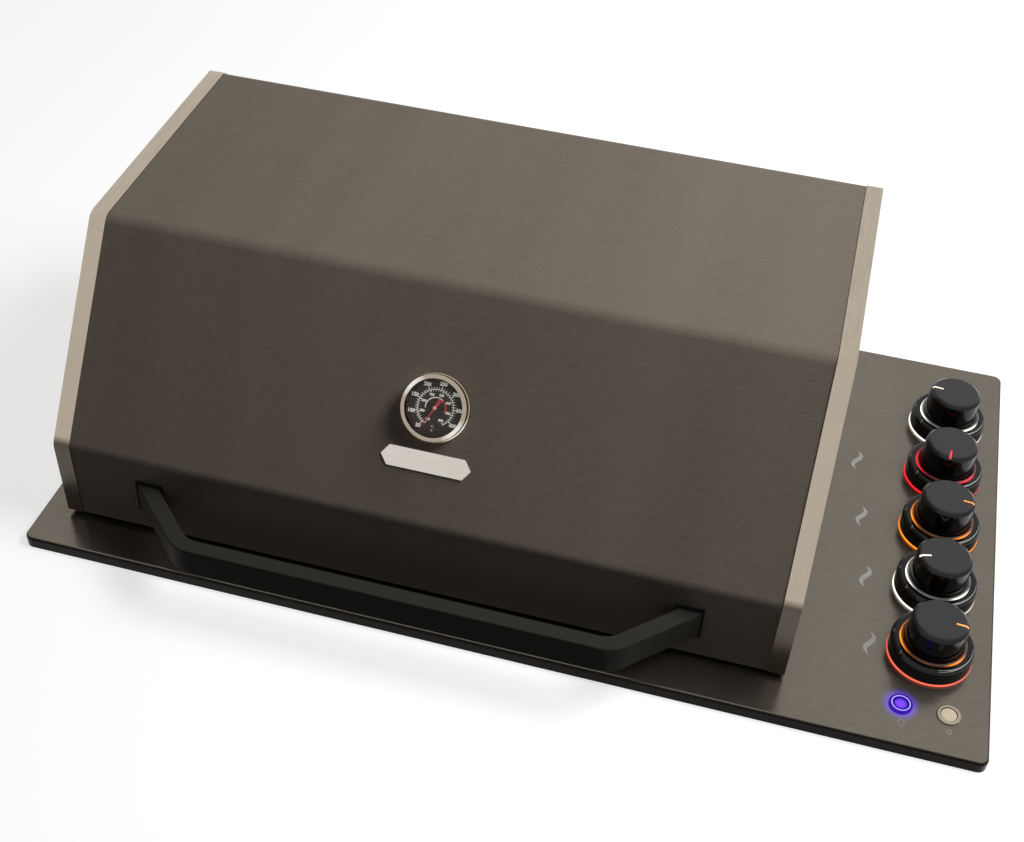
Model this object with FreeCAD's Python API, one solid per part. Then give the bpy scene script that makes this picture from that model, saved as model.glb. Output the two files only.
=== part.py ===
"""Built-in gas grill with a side control panel, a hinged roasting hood and a pull-out drip tray.

Millimetres. X runs to the right, Y to the back, Z up. The origin is the centre of the bench cut-out,
in the plane of the benchtop on which the deck's turned-in rim rests.
"""
import FreeCAD
import Part
import math
import os

from FreeCAD import Placement, Rotation, Vector

# Deck: the pressed top plate whose folded rim stands on the bench
deck_width = 940.0
deck_depth = 562.0
deck_height = 12.5
deck_sheet = 1.5
deck_corner = 9.0
deck_fold = 3.0
seat_width = 12.0
seat_corner = 4.0

# Hood outline, side on: an upright front, a sloping front, a near flat top and an upright back
hood_left_margin = 28.3
hood_right_margin = 188.7
hood_front_margin = 43.5
hood_back_margin = 92.0
hood_gap = 6.0
hood_front_height = 88.3
hood_slope_height = 178.0
hood_slope_run = 137.5
hood_top_rise = 5.0
hood_front_fold = 14.0
hood_top_fold = 15.0
hood_rear_fold = 12.0
end_sheet = 1.2
end_strip_width = 16.5
end_strip_sheet = 1.0
skin_sheet = 1.2
liner_sheet = 0.8
liner_space = 8.0
sheet_gap = 0.1
liner_front_lift = 12.0
liner_rear_lift = 52.0

# Hinge: two pins in brackets at the lower rear corners of the hood
hinge_inset = 14.0
hinge_pin_radius = 4.0
hinge_clearance = 0.05
hinge_bracket_sheet = 3.0
hinge_bracket_gap = 4.0
hinge_bracket_depth = 36.0
hinge_foot_width = 15.0
hinge_pin_head = 7.0
hinge_bracket_rise = 8.0
hinge_bracket_corner = 9.0
hinge_bracket_back = 2.0
hinge_collar = 2.0
hinge_collar_gap = 0.2
hinge_pin_tip = 2.5

# Handle: a flat bar with splayed arms
handle_side_margin = 84.5
handle_reach = 71.0
handle_bar = 16.5
handle_height = 31.0
handle_lift = 47.5
handle_outer_bend = 40.0
handle_inner_bend = 24.0
handle_edge = 2.0
spacer_thickness = 3.0
spacer_margin = 2.0
handle_screw_radius = 2.9
handle_screw_clearance = 0.1
handle_screw_inset = 17.0
handle_screw_pitch = 16.0
handle_screw_bite = 9.0
handle_screw_end = 1.5
handle_screw_head = 5.0

# Thermometer and badge on the sloping front
front_mark_offset = 3.0
gauge_rise = 110.5
gauge_radius = 32.5
gauge_bezel_radius = 31.5
gauge_flange = 4.0
gauge_depth = 13.0
gauge_glass_radius = 27.0
gauge_cavity_radius = 28.0
gauge_floor = 2.0
gauge_lip = 1.3
lens_thickness = 1.7
dial_thickness = 1.0
needle_length = 22.0
needle_tail = 8.0
needle_width = 3.6
needle_thickness = 0.6
needle_lift = 5.0
needle_shaft_radius = 1.2
needle_rest_angle = 207.0
probe_radius = 4.0
probe_length = 55.0
probe_hole_clearance = 0.5
probe_nut_flats = 13.0
probe_nut_height = 5.0
gauge_flange_edge = 1.5
gauge_bezel_edge = 2.5
gauge_lip_edge = 0.6
needle_hub_radius = 2.0
needle_hub_height = 2.0
badge_length = 86.5
badge_height = 19.0
badge_point = 7.0
badge_thickness = 1.5
badge_rise = 59.6
badge_corner = 0.8

# Knob row on the deck
knob_count = 5
knob_side_margin = 59.5
knob_front_margin = 115.0
knob_back_margin = 109.0
knob_ring_gap = 1.0
knob_taper = 0.6
knob_face_inset = 4.1
knob_bottom = 19.0
knob_top = 50.0
knob_bevel = 3.2
knob_shoulder = 1.6
knob_wall = 2.2
knob_roof = 4.0
knob_hub_radius = 7.0
knob_hub_drop = 5.0
knob_edge = 0.8
knob_cavity_gap = 1.5
knob_cavity_corner = 2.0
knob_push = 3.0
knob_off_angle = 175.0
knob_rest_turns = [0.0, 91.0, 178.0, 22.0, 180.0]
pointer_length = 13.1
pointer_edge = 0.4
pointer_width = 2.4
pointer_depth = 1.4
stem_radius = 3.0
stem_flat = 1.0
stem_clearance = 0.05
stem_hub_depth = 24.0
stem_hole_radius = 7.0

# Bezel and its clear light guide
guide_flange_lip = 0.7
guide_flange_height = 2.2
guide_wall = 2.8
guide_height = 20.4
bezel_radius = 39.4
bezel_face = 8.0
bezel_height = 19.6
bezel_shoulder = 4.5
bezel_wall = 2.0
bezel_clearance = 0.2
led_board_sheet = 1.6
led_board_gap = 0.4
led_count = 8
led_size = 2.4
led_height = 1.0
guide_edge = 0.6
bezel_edge = 0.5

# Push buttons in the deck
button_pitch = 43.4
button_front_margin = 46.3
button_head_radius = 11.0
button_head_height = 2.2
button_thread_radius = 9.4
button_length = 30.0
button_cap_radius = 7.4
button_cap_gap = 0.35
button_cap_height = 4.4
button_cap_stem = 14.0
button_recess = 5.0
button_travel = 2.0
button_nut_flats = 24.0
button_nut_height = 4.0
button_head_edge = 0.9
button_cap_edge = 0.5
button_stem_radius = 3.0
button_stem_clearance = 0.2
panel_hole_clearance = 0.3

# Firebox: a folded tub with a sloping floor, dropped through the deck
firebox_sheet = 1.2
firebox_side_margin = 31.5
firebox_front_margin = 24.0
firebox_back_margin = 23.5
firebox_corner = 10.0
firebox_rim = 8.0
firebox_clearance = 0.8
firebox_bottom = -170.0
floor_top = -100.0
floor_bottom = -132.0
drain_width = 120.0
drain_depth = 60.0
drain_corner = 6.0
floor_lift = 1.5
floor_upstand = 5.0
grate_ledge = 12.0
grate_shelf = 35.0
grate_ledge_z = -6.0
tamer_ledge = 8.0
tamer_ledge_z = -32.0

# Back panel and rear infrared burner
back_panel_sheet = 1.2
back_panel_height = 160.0
back_panel_margin = 5.0
back_panel_wing = 20.0
back_panel_foot = 5.0
vent_count = 12
vent_length = 30.0
vent_height = 6.0
vent_drop = 20.0
rear_burner_margin = 80.0
rear_burner_depth = 30.0
rear_burner_height = 60.0
rear_burner_lift = 36.0
rear_burner_wall = 1.5
rear_burner_stub = 10.0
rear_burner_stub_wall = 3.0
tile_thickness = 12.0
tile_recess = 2.0

# Main burners, tubes along X that start at their valves' jets
burner_radius = 19.0
burner_wall = 1.2
burner_z = -52.0
burner_end_gap = 10.0
burner_neck_radius = 12.0
burner_mouth_radius = 14.0
burner_mouth_length = 12.0
burner_mouth_setback = 36.5
burner_shoulder = 25.0
burner_shoulder_length = 15.0
burner_hole_clearance = 1.0
burner_peg_radius = 3.0
port_count = 22
port_length = 14.0
port_width = 1.6
port_angle = 35.0
air_window_length = 24.0
air_window_width = 9.0
air_window_setback = 34.0
port_row_left = 30.0
port_row_right = 20.0
burner_end_corner = 3.0

# Flame tamers, grates, hotplate and warming rack
tamer_half_width = 32.0
tamer_rise = 20.0
tamer_sheet = 1.2
tamer_end_gap = 2.0
grate_thickness = 12.0
grate_gap = 2.0
grate_edge_gap = 1.5
grate_frame = 10.0
grate_bar = 8.0
grate_bar_count = 12
grate_bar_height = 10.0
hotplate_lip = 3.0
hotplate_floor = 6.0
grate_corner = 4.0
hotplate_corner = 3.0
hotplate_slot_margin = 40.0
hotplate_slot_setback = 14.0
hotplate_slot_width = 8.0
rack_z = 135.0
rack_depth = 100.0
rack_back_margin = 40.5
rack_wire = 3.0
rack_rod = 2.0
rack_rod_count = 15
rack_bend = 14.0
rack_rail_inset = 17.0
rack_rod_overhang = 2.0
rack_thin_rod = 1.6

# Control box, gas train and ignition under the deck
box_firebox_gap = 12.0
box_side_margin = 15.0
box_end_margin = 29.0
box_bottom = -112.0
box_sheet = 1.0
box_vent_count = 9
box_vent_length = 50.0
box_vent_width = 5.0
box_vent_pitch = 22.0
box_vent_lift = 30.0
inlet_hole_clearance = 1.0
valve_half_x = 14.0
valve_half_y = 13.0
valve_top = -36.0
valve_bottom = -66.0
bonnet_radius = 9.0
bonnet_top = -22.0
plug_top_radius = 6.0
plug_bottom_radius = 5.0
plug_top = -38.0
plug_bottom = -62.0
plug_socket_depth = 12.0
plug_clearance = 0.05
plug_end_gap = 0.3
stem_engagement = 7.0
outlet_radius = 5.0
outlet_length = 16.4
jet_radius = 3.2
jet_length = 9.0
jet_bore = 0.6
inlet_radius = 6.0
inlet_stub = 8.0
inlet_pipe_radius = 9.0
gas_way = 2.5
plug_way = 1.8
manifold_radius = 10.0
manifold_bore = 8.0
manifold_z = -84.0
manifold_front_margin = 30.0
manifold_back_margin = 44.0
manifold_boss_radius = 8.0
manifold_port = 4.0
manifold_cap = 3.0
inlet_block = 24.0
inlet_socket_radius = 14.0
inlet_thread_radius = 9.3
inlet_thread_depth = 15.0
inlet_socket_top = -122.0
inlet_socket_bottom = -140.0
inlet_channel = 6.0
feed_pipe_radius = 4.0
feed_pipe_bore = 3.0
feed_pipe_bend = 14.0
feed_pipe_lead = 30.0
feed_pipe_shift = 40.0
feed_pipe_inset = 50.0
feed_hole_clearance = 1.5
electrode_radius = 3.0
electrode_gap = 7.0
electrode_z = -44.0
electrode_reach = 50.0
electrode_tail = 13.0
electrode_tip_radius = 0.9
electrode_tip_length = 16.0
electrode_hole_clearance = 0.5
manifold_foot = 16.0
igniter_size = (60.0, 50.0, 40.0)
igniter_inset = (28.0, 4.0)
terminal_radius = 2.5
terminal_height = 8.0
driver_size = (80.0, 45.0, 30.0)
driver_inset = (23.0, 7.0)
socket_inset = 63.0
socket_radius = 5.0
socket_flange = 8.0
socket_flange_thickness = 1.5
socket_bore = 2.75
socket_depth = 9.0
socket_clearance = 0.2

# Bench clamps
clamp_left_inset = 80.0
clamp_right_inset = 25.0
clamp_end_margin = 34.0
clamp_bolt_radius = 3.0
clamp_bolt_bottom = -60.0
clamp_bench = 40.0
clamp_dog = (20.0, 42.0, 3.0)
clamp_dog_back = 10.0
clamp_nut_radius = 6.0
clamp_nut_height = 5.0
clamp_clearance = 0.2

# Drip tray, its runners and the grease cup
runner_sheet = 1.5
runner_leg = 14.0
runner_top = -148.5
runner_bottom = -160.0
runner_front_gap = 2.0
tray_sheet = 1.0
tray_flange = 10.0
tray_depth = 28.0
tray_side_gap = 2.0
tray_clearance = 0.4
tray_back_gap = 8.0
tray_front_rise = 12.0
tray_lip = 16.0
tray_slot_top = -146.0
tray_drain_radius = 12.0
tray_bridge_height = 10.0
tray_bridge_margin = 30.0
tray_lip_margin = 120.0
tray_lip_rise = 8.0
runner_end_gap = 10.0
cup_hook_gap = 1.0
cup_length = 110.0
cup_depth = 80.0
cup_height = 42.0
cup_sheet = 1.0
cup_rim = 6.0
cup_corner = 12.0
cup_rail_sheet = 1.2
cup_clearance = 0.5

# Derived places
deck_left = -deck_width / 2
deck_right = deck_width / 2
deck_front = -deck_depth / 2
deck_back = deck_depth / 2
deck_under = deck_height - deck_sheet
hood_left = deck_left + hood_left_margin
hood_right = deck_right - hood_right_margin
hood_centre = (hood_left + hood_right) / 2
hood_front = deck_front + hood_front_margin
hood_back = deck_back - hood_back_margin
hood_bottom = deck_height + hood_gap
hood_fold_z = hood_bottom + hood_front_height
hood_crest_z = hood_fold_z + hood_slope_height
hood_crest_y = hood_front + hood_slope_run
hood_rear_z = hood_crest_z + hood_top_rise
hinge_y = hood_back - hinge_inset
hinge_z = hood_bottom + hinge_inset
skin_inset = end_strip_sheet + sheet_gap
skin_inner = skin_inset + skin_sheet
liner_inset = skin_inner + liner_space
handle_half_width = (hood_right - hood_left) / 2 - handle_side_margin
firebox_left = hood_left + firebox_side_margin
firebox_right = hood_right - firebox_side_margin
firebox_front = hood_front + firebox_front_margin
firebox_back = hood_back - firebox_back_margin
firebox_top = deck_height + firebox_sheet
firebox_centre_x = (firebox_left + firebox_right) / 2
knob_x = deck_right - knob_side_margin
knob_pitch = (deck_depth - knob_front_margin - knob_back_margin) / (knob_count - 1)
knob_y = [deck_back - knob_back_margin - i * knob_pitch for i in range(knob_count)]
guide_flange_radius = bezel_radius + guide_flange_lip
guide_outer_radius = bezel_radius - bezel_face
guide_inner_radius = guide_outer_radius - guide_wall
knob_radius = guide_inner_radius - knob_ring_gap
knob_top_radius = knob_radius - knob_taper
knob_face_radius = knob_top_radius - knob_face_inset
pointer_outer = knob_top_radius - pointer_edge
pointer_inner = pointer_outer - pointer_length
button_row_y = deck_front + button_front_margin
burner_y = knob_y[1:]
plug_height = plug_top - plug_bottom
slope_length = math.hypot(hood_slope_run, hood_slope_height)
slope_tilt = math.degrees(math.atan2(hood_slope_height, hood_slope_run))
inside_left = firebox_left + firebox_sheet
inside_right = firebox_right - firebox_sheet
inside_front = firebox_front + firebox_sheet
inside_back = firebox_back - firebox_sheet
feed_pipe_y = inside_back - grate_shelf / 3
feed_pipe_x = firebox_right - feed_pipe_inset
rear_burner_width = firebox_right - firebox_left - 2 * rear_burner_margin
rack_back = firebox_back - rack_back_margin
rack_front = rack_back - rack_depth
burner_mouth_x = knob_x - burner_mouth_setback
box_left = firebox_right + box_firebox_gap
box_right = deck_right - box_side_margin
box_half_depth = deck_depth / 2 - box_end_margin
electrode_offset = burner_radius + electrode_gap
electrode_inner = firebox_right - electrode_reach
electrode_outer = box_left + electrode_tail
socket_x = box_left + socket_inset
socket_z = box_bottom + box_sheet + driver_size[2] / 2
clamp_x = (firebox_left + clamp_left_inset, firebox_right - clamp_right_inset)
clamp_y = deck_depth / 2 - clamp_end_margin

parts = {}


def box(x0, x1, y0, y1, z0, z1):
    """Block between two corners."""
    return Part.makeBox(x1 - x0, y1 - y0, z1 - z0, Vector(x0, y0, z0))


def rod(start, direction, radius, length):
    """Round bar from a start point along a direction."""
    return Part.makeCylinder(radius, length, Vector(*start), Vector(*direction))


def outline(points, radii, place):
    """Closed wire through 2-D points, each corner rounded by its own radius, set in space by place(u, v)."""
    runs = []
    for i, point in enumerate(points):
        here = Vector(point[0], point[1], 0)
        before = Vector(*points[i - 1], 0) - here
        after = Vector(*points[(i + 1) % len(points)], 0) - here
        before.normalize()
        after.normalize()
        if radii[i] <= 0:
            runs.append((here, None, here))
            continue
        half = before.getAngle(after) / 2
        reach = radii[i] / math.tan(half)
        towards = before + after
        towards.normalize()
        middle = here + towards * (radii[i] / math.sin(half) - radii[i])
        runs.append((here + before * reach, middle, here + after * reach))
    edges = []
    for i, (start, middle, end) in enumerate(runs):
        if middle is not None:
            arc = Part.Arc(place(start.x, start.y), place(middle.x, middle.y), place(end.x, end.y))
            edges.append(arc.toShape())
        following = runs[(i + 1) % len(runs)][0]
        if end.distanceToPoint(following) > 1e-6:
            edges.append(Part.LineSegment(place(end.x, end.y), place(following.x, following.y)).toShape())
    return Part.Wire(edges)


def flat(z):
    """Places plan points at a height."""
    return lambda u, v: Vector(u, v, z)


def side(x):
    """Places (y, z) points in a plane across the grill."""
    return lambda u, v: Vector(x, u, v)


def plate(points, radii, z0, z1):
    """Flat plate from a plan outline."""
    return Part.Face(outline(points, radii, flat(z0))).extrude(Vector(0, 0, z1 - z0))


def rounded_box(x0, x1, y0, y1, z0, z1, radius):
    """Block with rounded upright corners."""
    return plate([(x0, y0), (x1, y0), (x1, y1), (x0, y1)], [radius] * 4, z0, z1)


def turned(profile, radii, x=0.0, y=0.0, z=0.0):
    """Solid turned about an upright axis from an (r, z) profile."""
    wire = outline(profile, radii, lambda u, v: Vector(x + u, y, z + v))
    return Part.Face(wire).revolve(Vector(x, y, z), Vector(0, 0, 1), 360)


def hexagon(x, y, z, flats, height):
    """Upright hexagonal nut blank."""
    corner = flats / math.sqrt(3)
    turns = [math.radians(60 * i) for i in range(6)]
    return plate([(x + corner * math.cos(a), y + corner * math.sin(a)) for a in turns], [0] * 6, z, z + height)


def cut_all(body, tools):
    """Body with every tool taken away in one cut."""
    return body.cut(Part.makeCompound(tools))


def tidy(shape):
    """Joined shape without leftover seams between coplanar faces."""
    return shape.removeSplitter()


def joined(first, *others):
    """One solid from touching pieces."""
    return tidy(first.fuse(list(others)))


def hood_face(inset, bottom, x, rear_corner=0.0):
    """Closed side outline of the hood, moved in from the outside by an inset, with its own lower edge."""
    slope = math.radians(slope_tilt)
    top = math.atan2(hood_top_rise, hood_back - hood_crest_y)
    front_line = hood_front + inset
    back_line = hood_back - inset
    slope_y = hood_front + inset * math.sin(slope)
    slope_z = hood_fold_z - inset * math.cos(slope)
    crest_drop = inset / math.cos(top)
    fold_z = slope_z + (front_line - slope_y) * math.tan(slope)
    run = (hood_crest_z - crest_drop - math.tan(top) * (hood_crest_y - slope_y) - slope_z) / (
        math.tan(slope) - math.tan(top))
    crest = (slope_y + run, slope_z + run * math.tan(slope))
    rear_z = hood_rear_z - crest_drop - inset * math.tan(top)
    points = [(front_line, bottom), (front_line, fold_z), crest, (back_line, rear_z), (back_line, bottom)]
    radii = [0, hood_front_fold - inset, hood_top_fold - inset, max(hood_rear_fold - inset, 1.0), rear_corner]
    return Part.Face(outline(points, radii, side(x)))


def hood_shell(inset, sheet, x0, x1, bottom):
    """Bent sheet that follows the hood's outline, open below."""
    outer = hood_face(inset, bottom, x0).extrude(Vector(x1 - x0, 0, 0))
    inner = hood_face(inset + sheet, bottom - 10, x0 - 1).extrude(Vector(x1 - x0 + 2, 0, 0))
    return outer.cut(inner)


def on_slope(shape, x, rise, lift):
    """Moves a shape built on the XY plane, Y up the slope and Z outwards, on to the sloping front."""
    tilt = math.radians(slope_tilt)
    y = hood_front + rise * math.cos(tilt) - lift * math.sin(tilt)
    z = hood_fold_z + rise * math.sin(tilt) + lift * math.cos(tilt)
    moved = shape.copy()
    moved.Placement = Placement(Vector(x, y, z), Rotation(Vector(1, 0, 0), slope_tilt))
    return moved


def behind(shape, z):
    """The part of a hood sheet's back that is cut off below a height."""
    return shape.cut(box(hood_left - 1, hood_right + 1, hood_back - 30, hood_back + 1, hood_bottom - 20, z))


def make_deck():
    """Pressed plate with a folded rim, turned in at its foot to make the seat."""
    shell = rounded_box(deck_left, deck_right, deck_front, deck_back, 0, deck_height, deck_corner)
    upper = [e for e in shell.Edges if e.BoundBox.ZMin > deck_height - 0.01]
    shell = shell.makeFillet(deck_fold, upper)
    t = deck_sheet
    hollow = rounded_box(deck_left + t, deck_right - t, deck_front + t, deck_back - t, t, deck_under,
                         deck_corner - t)
    upper = [e for e in hollow.Edges if e.BoundBox.ZMin > deck_under - 0.01]
    hollow = hollow.makeFillet(deck_fold - t, upper)
    seat = t + seat_width
    below = rounded_box(deck_left + seat, deck_right - seat, deck_front + seat, deck_back - seat,
                        -1, t + 1, seat_corner)
    c = firebox_clearance
    mouth = rounded_box(firebox_left - c, firebox_right + c, firebox_front - c, firebox_back + c,
                        t, deck_height + 1, firebox_corner + c)
    holes = [rod((knob_x, y, t), (0, 0, 1), stem_hole_radius, deck_height) for y in knob_y]
    holes += [rod((x, button_row_y, t), (0, 0, 1), button_thread_radius + panel_hole_clearance, deck_height)
              for x in button_places()]
    return cut_all(shell, [hollow, below, mouth] + holes)


def button_places():
    """X of the light button and the ignition button, either side of the knob row's line."""
    return [knob_x - button_pitch / 2, knob_x + button_pitch / 2]


def make_hood():
    """Skin, liner and the two pressed ends with their bright edge strips."""
    clear = end_sheet + sheet_gap
    skin = hood_shell(skin_inset, skin_sheet, hood_left + clear, hood_right - clear, hood_bottom)
    skin = behind(skin, hinge_z + hinge_inset)
    liner = hood_shell(liner_inset, liner_sheet, hood_left + clear, hood_right - clear,
                       hood_bottom + liner_front_lift)
    liner = behind(liner, hood_bottom + liner_rear_lift)
    mark_x = hood_centre + front_mark_offset
    gauge_tools = [on_slope(rod((0, 0, -probe_length), (0, 0, 1), probe_radius + probe_hole_clearance,
                                probe_length + 5), mark_x, gauge_rise, -skin_inset)]
    screw_tools = [rod((x, hood_front - 5, z), (0, 1, 0), handle_screw_radius + handle_screw_clearance, 14)
                   for x, z in handle_screw_places()]
    parts["hood_skin"] = cut_all(skin, gauge_tools + screw_tools)
    parts["hood_liner"] = cut_all(liner, gauge_tools)
    for name, x, inward in (("hood_end_left", hood_left, 1), ("hood_end_right", hood_right, -1)):
        face = hood_face(0, hood_bottom, x, hinge_inset)
        cheek = face.extrude(Vector(inward * end_sheet, 0, 0))
        x0 = min(x, x + inward * end_strip_width)
        strip = hood_shell(0, end_strip_sheet, x0, x0 + end_strip_width, hood_bottom)
        strip = behind(strip, hinge_z + hinge_inset)
        pin_hole = rod((x - 5, hinge_y, hinge_z), (1, 0, 0), hinge_pin_radius, 10)
        parts[name] = joined(cheek, strip).cut(pin_hole)


def make_hinge():
    """Brackets that stand on the deck inside the hood's ends, and the pins fixed in those ends."""
    brackets = []
    pins = []
    front = hinge_y - hinge_bracket_depth / 2
    back = hinge_y + hinge_inset - hinge_bracket_back
    top = hinge_z + hinge_bracket_rise
    for x, inward in ((hood_left, 1), (hood_right, -1)):
        outer = x + inward * (end_sheet + hinge_bracket_gap)
        inner = outer + inward * hinge_bracket_sheet
        toe = outer + inward * hinge_foot_width
        corner = hinge_bracket_corner
        web_outline = outline([(front, deck_height), (back, deck_height), (back, top), (front, top)],
                              [0, 0, corner, corner], side(outer))
        web = Part.Face(web_outline).extrude(Vector(inner - outer, 0, 0))
        base = box(min(outer, toe), max(outer, toe), front, back, deck_height,
                   deck_height + hinge_bracket_sheet)
        reach = hinge_pin_radius + hinge_clearance
        hole = rod((x - 30, hinge_y, hinge_z), (1, 0, 0), reach, 60)
        brackets.append(joined(web, base).cut(hole))
        tip = inner + inward * hinge_pin_tip
        shank = rod((min(x, tip), hinge_y, hinge_z), (1, 0, 0), hinge_pin_radius, abs(tip - x))
        start = x + inward * (end_sheet + hinge_collar_gap)
        collar = rod((start, hinge_y, hinge_z), (inward, 0, 0), hinge_pin_head, hinge_collar)
        pins.append(joined(shank, collar))
    parts["hinge_brackets"] = Part.makeCompound(brackets)
    parts["hinge_pins"] = Part.makeCompound(pins)


def handle_screw_places():
    """(x, z) of the four screws that hold the handle from inside the hood."""
    middle = handle_lift + handle_height / 2
    return [(hood_centre + side_sign * (handle_half_width - handle_screw_inset),
             middle + up * handle_screw_pitch / 2) for side_sign in (-1, 1) for up in (-1, 1)]


def make_handle():
    """Flat bar bent forward from the hood's upright front, on two spacers."""
    skin_y = hood_front + skin_inset
    root_y = skin_y - spacer_thickness
    front_y = skin_y - handle_reach
    inner_y = front_y + handle_bar
    outer_run = root_y - front_y
    inner_run = root_y - inner_y
    end_width = handle_bar * math.sqrt(2)
    half = handle_half_width
    right = [(half, root_y), (half - outer_run, front_y)]
    inner = [(half - end_width - inner_run, inner_y), (half - end_width, root_y)]
    points = ([(hood_centre + x, y) for x, y in right]
              + [(hood_centre - x, y) for x, y in reversed(right)]
              + [(hood_centre - x, y) for x, y in reversed(inner)]
              + [(hood_centre + x, y) for x, y in inner])
    radii = [0, handle_outer_bend, handle_outer_bend, 0, 0, handle_inner_bend, handle_inner_bend, 0]
    bar = plate(points, radii, handle_lift, handle_lift + handle_height)
    along = [e for e in bar.Edges
             if abs(e.BoundBox.ZMax - e.BoundBox.ZMin) < 0.01 and e.BoundBox.YMin < root_y - 0.5]
    bar = bar.makeFillet(handle_edge, along)
    holes = [rod((x, root_y + 1, z), (0, -1, 0), handle_screw_radius + handle_screw_clearance,
                 handle_screw_bite + handle_screw_end) for x, z in handle_screw_places()]
    parts["hood_handle"] = cut_all(bar, holes)
    spacers = []
    for sign in (-1, 1):
        x0 = hood_centre + sign * (half - end_width - spacer_margin)
        x1 = hood_centre + sign * (half + spacer_margin)
        pad = box(min(x0, x1), max(x0, x1), root_y, skin_y, handle_lift - spacer_margin,
                  handle_lift + handle_height + spacer_margin)
        through = [rod((x, root_y - 1, z), (0, 1, 0), handle_screw_radius + handle_screw_clearance,
                       spacer_thickness + 2) for x, z in handle_screw_places()]
        spacers.append(cut_all(pad, through))
    parts["handle_spacers"] = Part.makeCompound(spacers)
    fasteners = []
    inside_y = hood_front + skin_inner
    for x, z in handle_screw_places():
        length = inside_y - root_y + handle_screw_bite
        shank = rod((x, inside_y, z), (0, -1, 0), handle_screw_radius, length)
        head = rod((x, inside_y, z), (0, 1, 0), handle_screw_head, handle_screw_head * 0.8)
        fasteners.append(joined(shank, head))
    nut = hexagon(0, 0, -skin_sheet - probe_nut_height, probe_nut_flats, probe_nut_height)
    nut = nut.cut(rod((0, 0, -20), (0, 0, 1), probe_radius + sheet_gap, 30))
    fasteners.append(on_slope(nut, hood_centre + front_mark_offset, gauge_rise, -skin_inset))
    parts["hood_fasteners"] = Part.makeCompound(fasteners)


def make_gauge():
    """Bimetal thermometer: case with its probe, printed dial, glass and turning needle."""
    x = hood_centre + front_mark_offset
    lip_z = gauge_depth - gauge_lip
    case = turned([(0, 0), (gauge_radius, 0), (gauge_radius, gauge_flange), (gauge_bezel_radius, gauge_flange),
                   (gauge_bezel_radius, gauge_depth), (gauge_glass_radius, gauge_depth),
                   (gauge_glass_radius, lip_z), (gauge_cavity_radius, lip_z),
                   (gauge_cavity_radius, gauge_floor), (0, gauge_floor)],
                  [0, 0, gauge_flange_edge, 0, gauge_bezel_edge, gauge_lip_edge, 0, 0, 0, 0])
    probe = rod((0, 0, -probe_length), (0, 0, 1), probe_radius, probe_length)
    well = rod((0, 0, -probe_length / 2), (0, 0, 1), needle_shaft_radius + sheet_gap, probe_length)
    case = joined(case, probe).cut(well)
    parts["gauge_case"] = on_slope(case, x, gauge_rise, -skin_inset)
    dial = rod((0, 0, gauge_floor), (0, 0, 1), gauge_cavity_radius - sheet_gap, dial_thickness)
    dial = dial.cut(rod((0, 0, 0), (0, 0, 1), needle_shaft_radius + sheet_gap, 10))
    parts["gauge_dial"] = on_slope(dial, x, gauge_rise, -skin_inset)
    lens = rod((0, 0, lip_z - lens_thickness), (0, 0, 1), gauge_cavity_radius - sheet_gap, lens_thickness)
    parts["gauge_lens"] = on_slope(lens, x, gauge_rise, -skin_inset)
    turn = math.radians(needle_rest_angle)
    forward = (math.sin(turn), math.cos(turn))
    across = (forward[1], -forward[0])
    w = needle_width / 2
    tail = [(-needle_tail, -w), (-needle_tail, w), (0, w * 0.5), (needle_length, w * 0.15),
            (needle_length, -w * 0.15), (0, -w * 0.5)]
    blade = plate([(a * forward[0] + b * across[0], a * forward[1] + b * across[1]) for a, b in tail],
                  [0] * 6, needle_lift, needle_lift + needle_thickness)
    hub = rod((0, 0, needle_lift - needle_thickness), (0, 0, 1), needle_hub_radius, needle_hub_height)
    shaft = rod((0, 0, -probe_length / 2 + 2), (0, 0, 1), needle_shaft_radius, probe_length / 2 + needle_lift)
    parts["gauge_needle"] = on_slope(joined(blade, hub, shaft), x, gauge_rise, -skin_inset)
    half = badge_length / 2
    tall = badge_height / 2
    badge = plate([(-half, 0), (-half + badge_point, -tall), (half - badge_point, -tall), (half, 0),
                   (half - badge_point, tall), (-half + badge_point, tall)],
                  [badge_corner] * 6, 0, badge_thickness)
    parts["badge_plate"] = on_slope(badge, x, badge_rise, -skin_inset)


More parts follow.
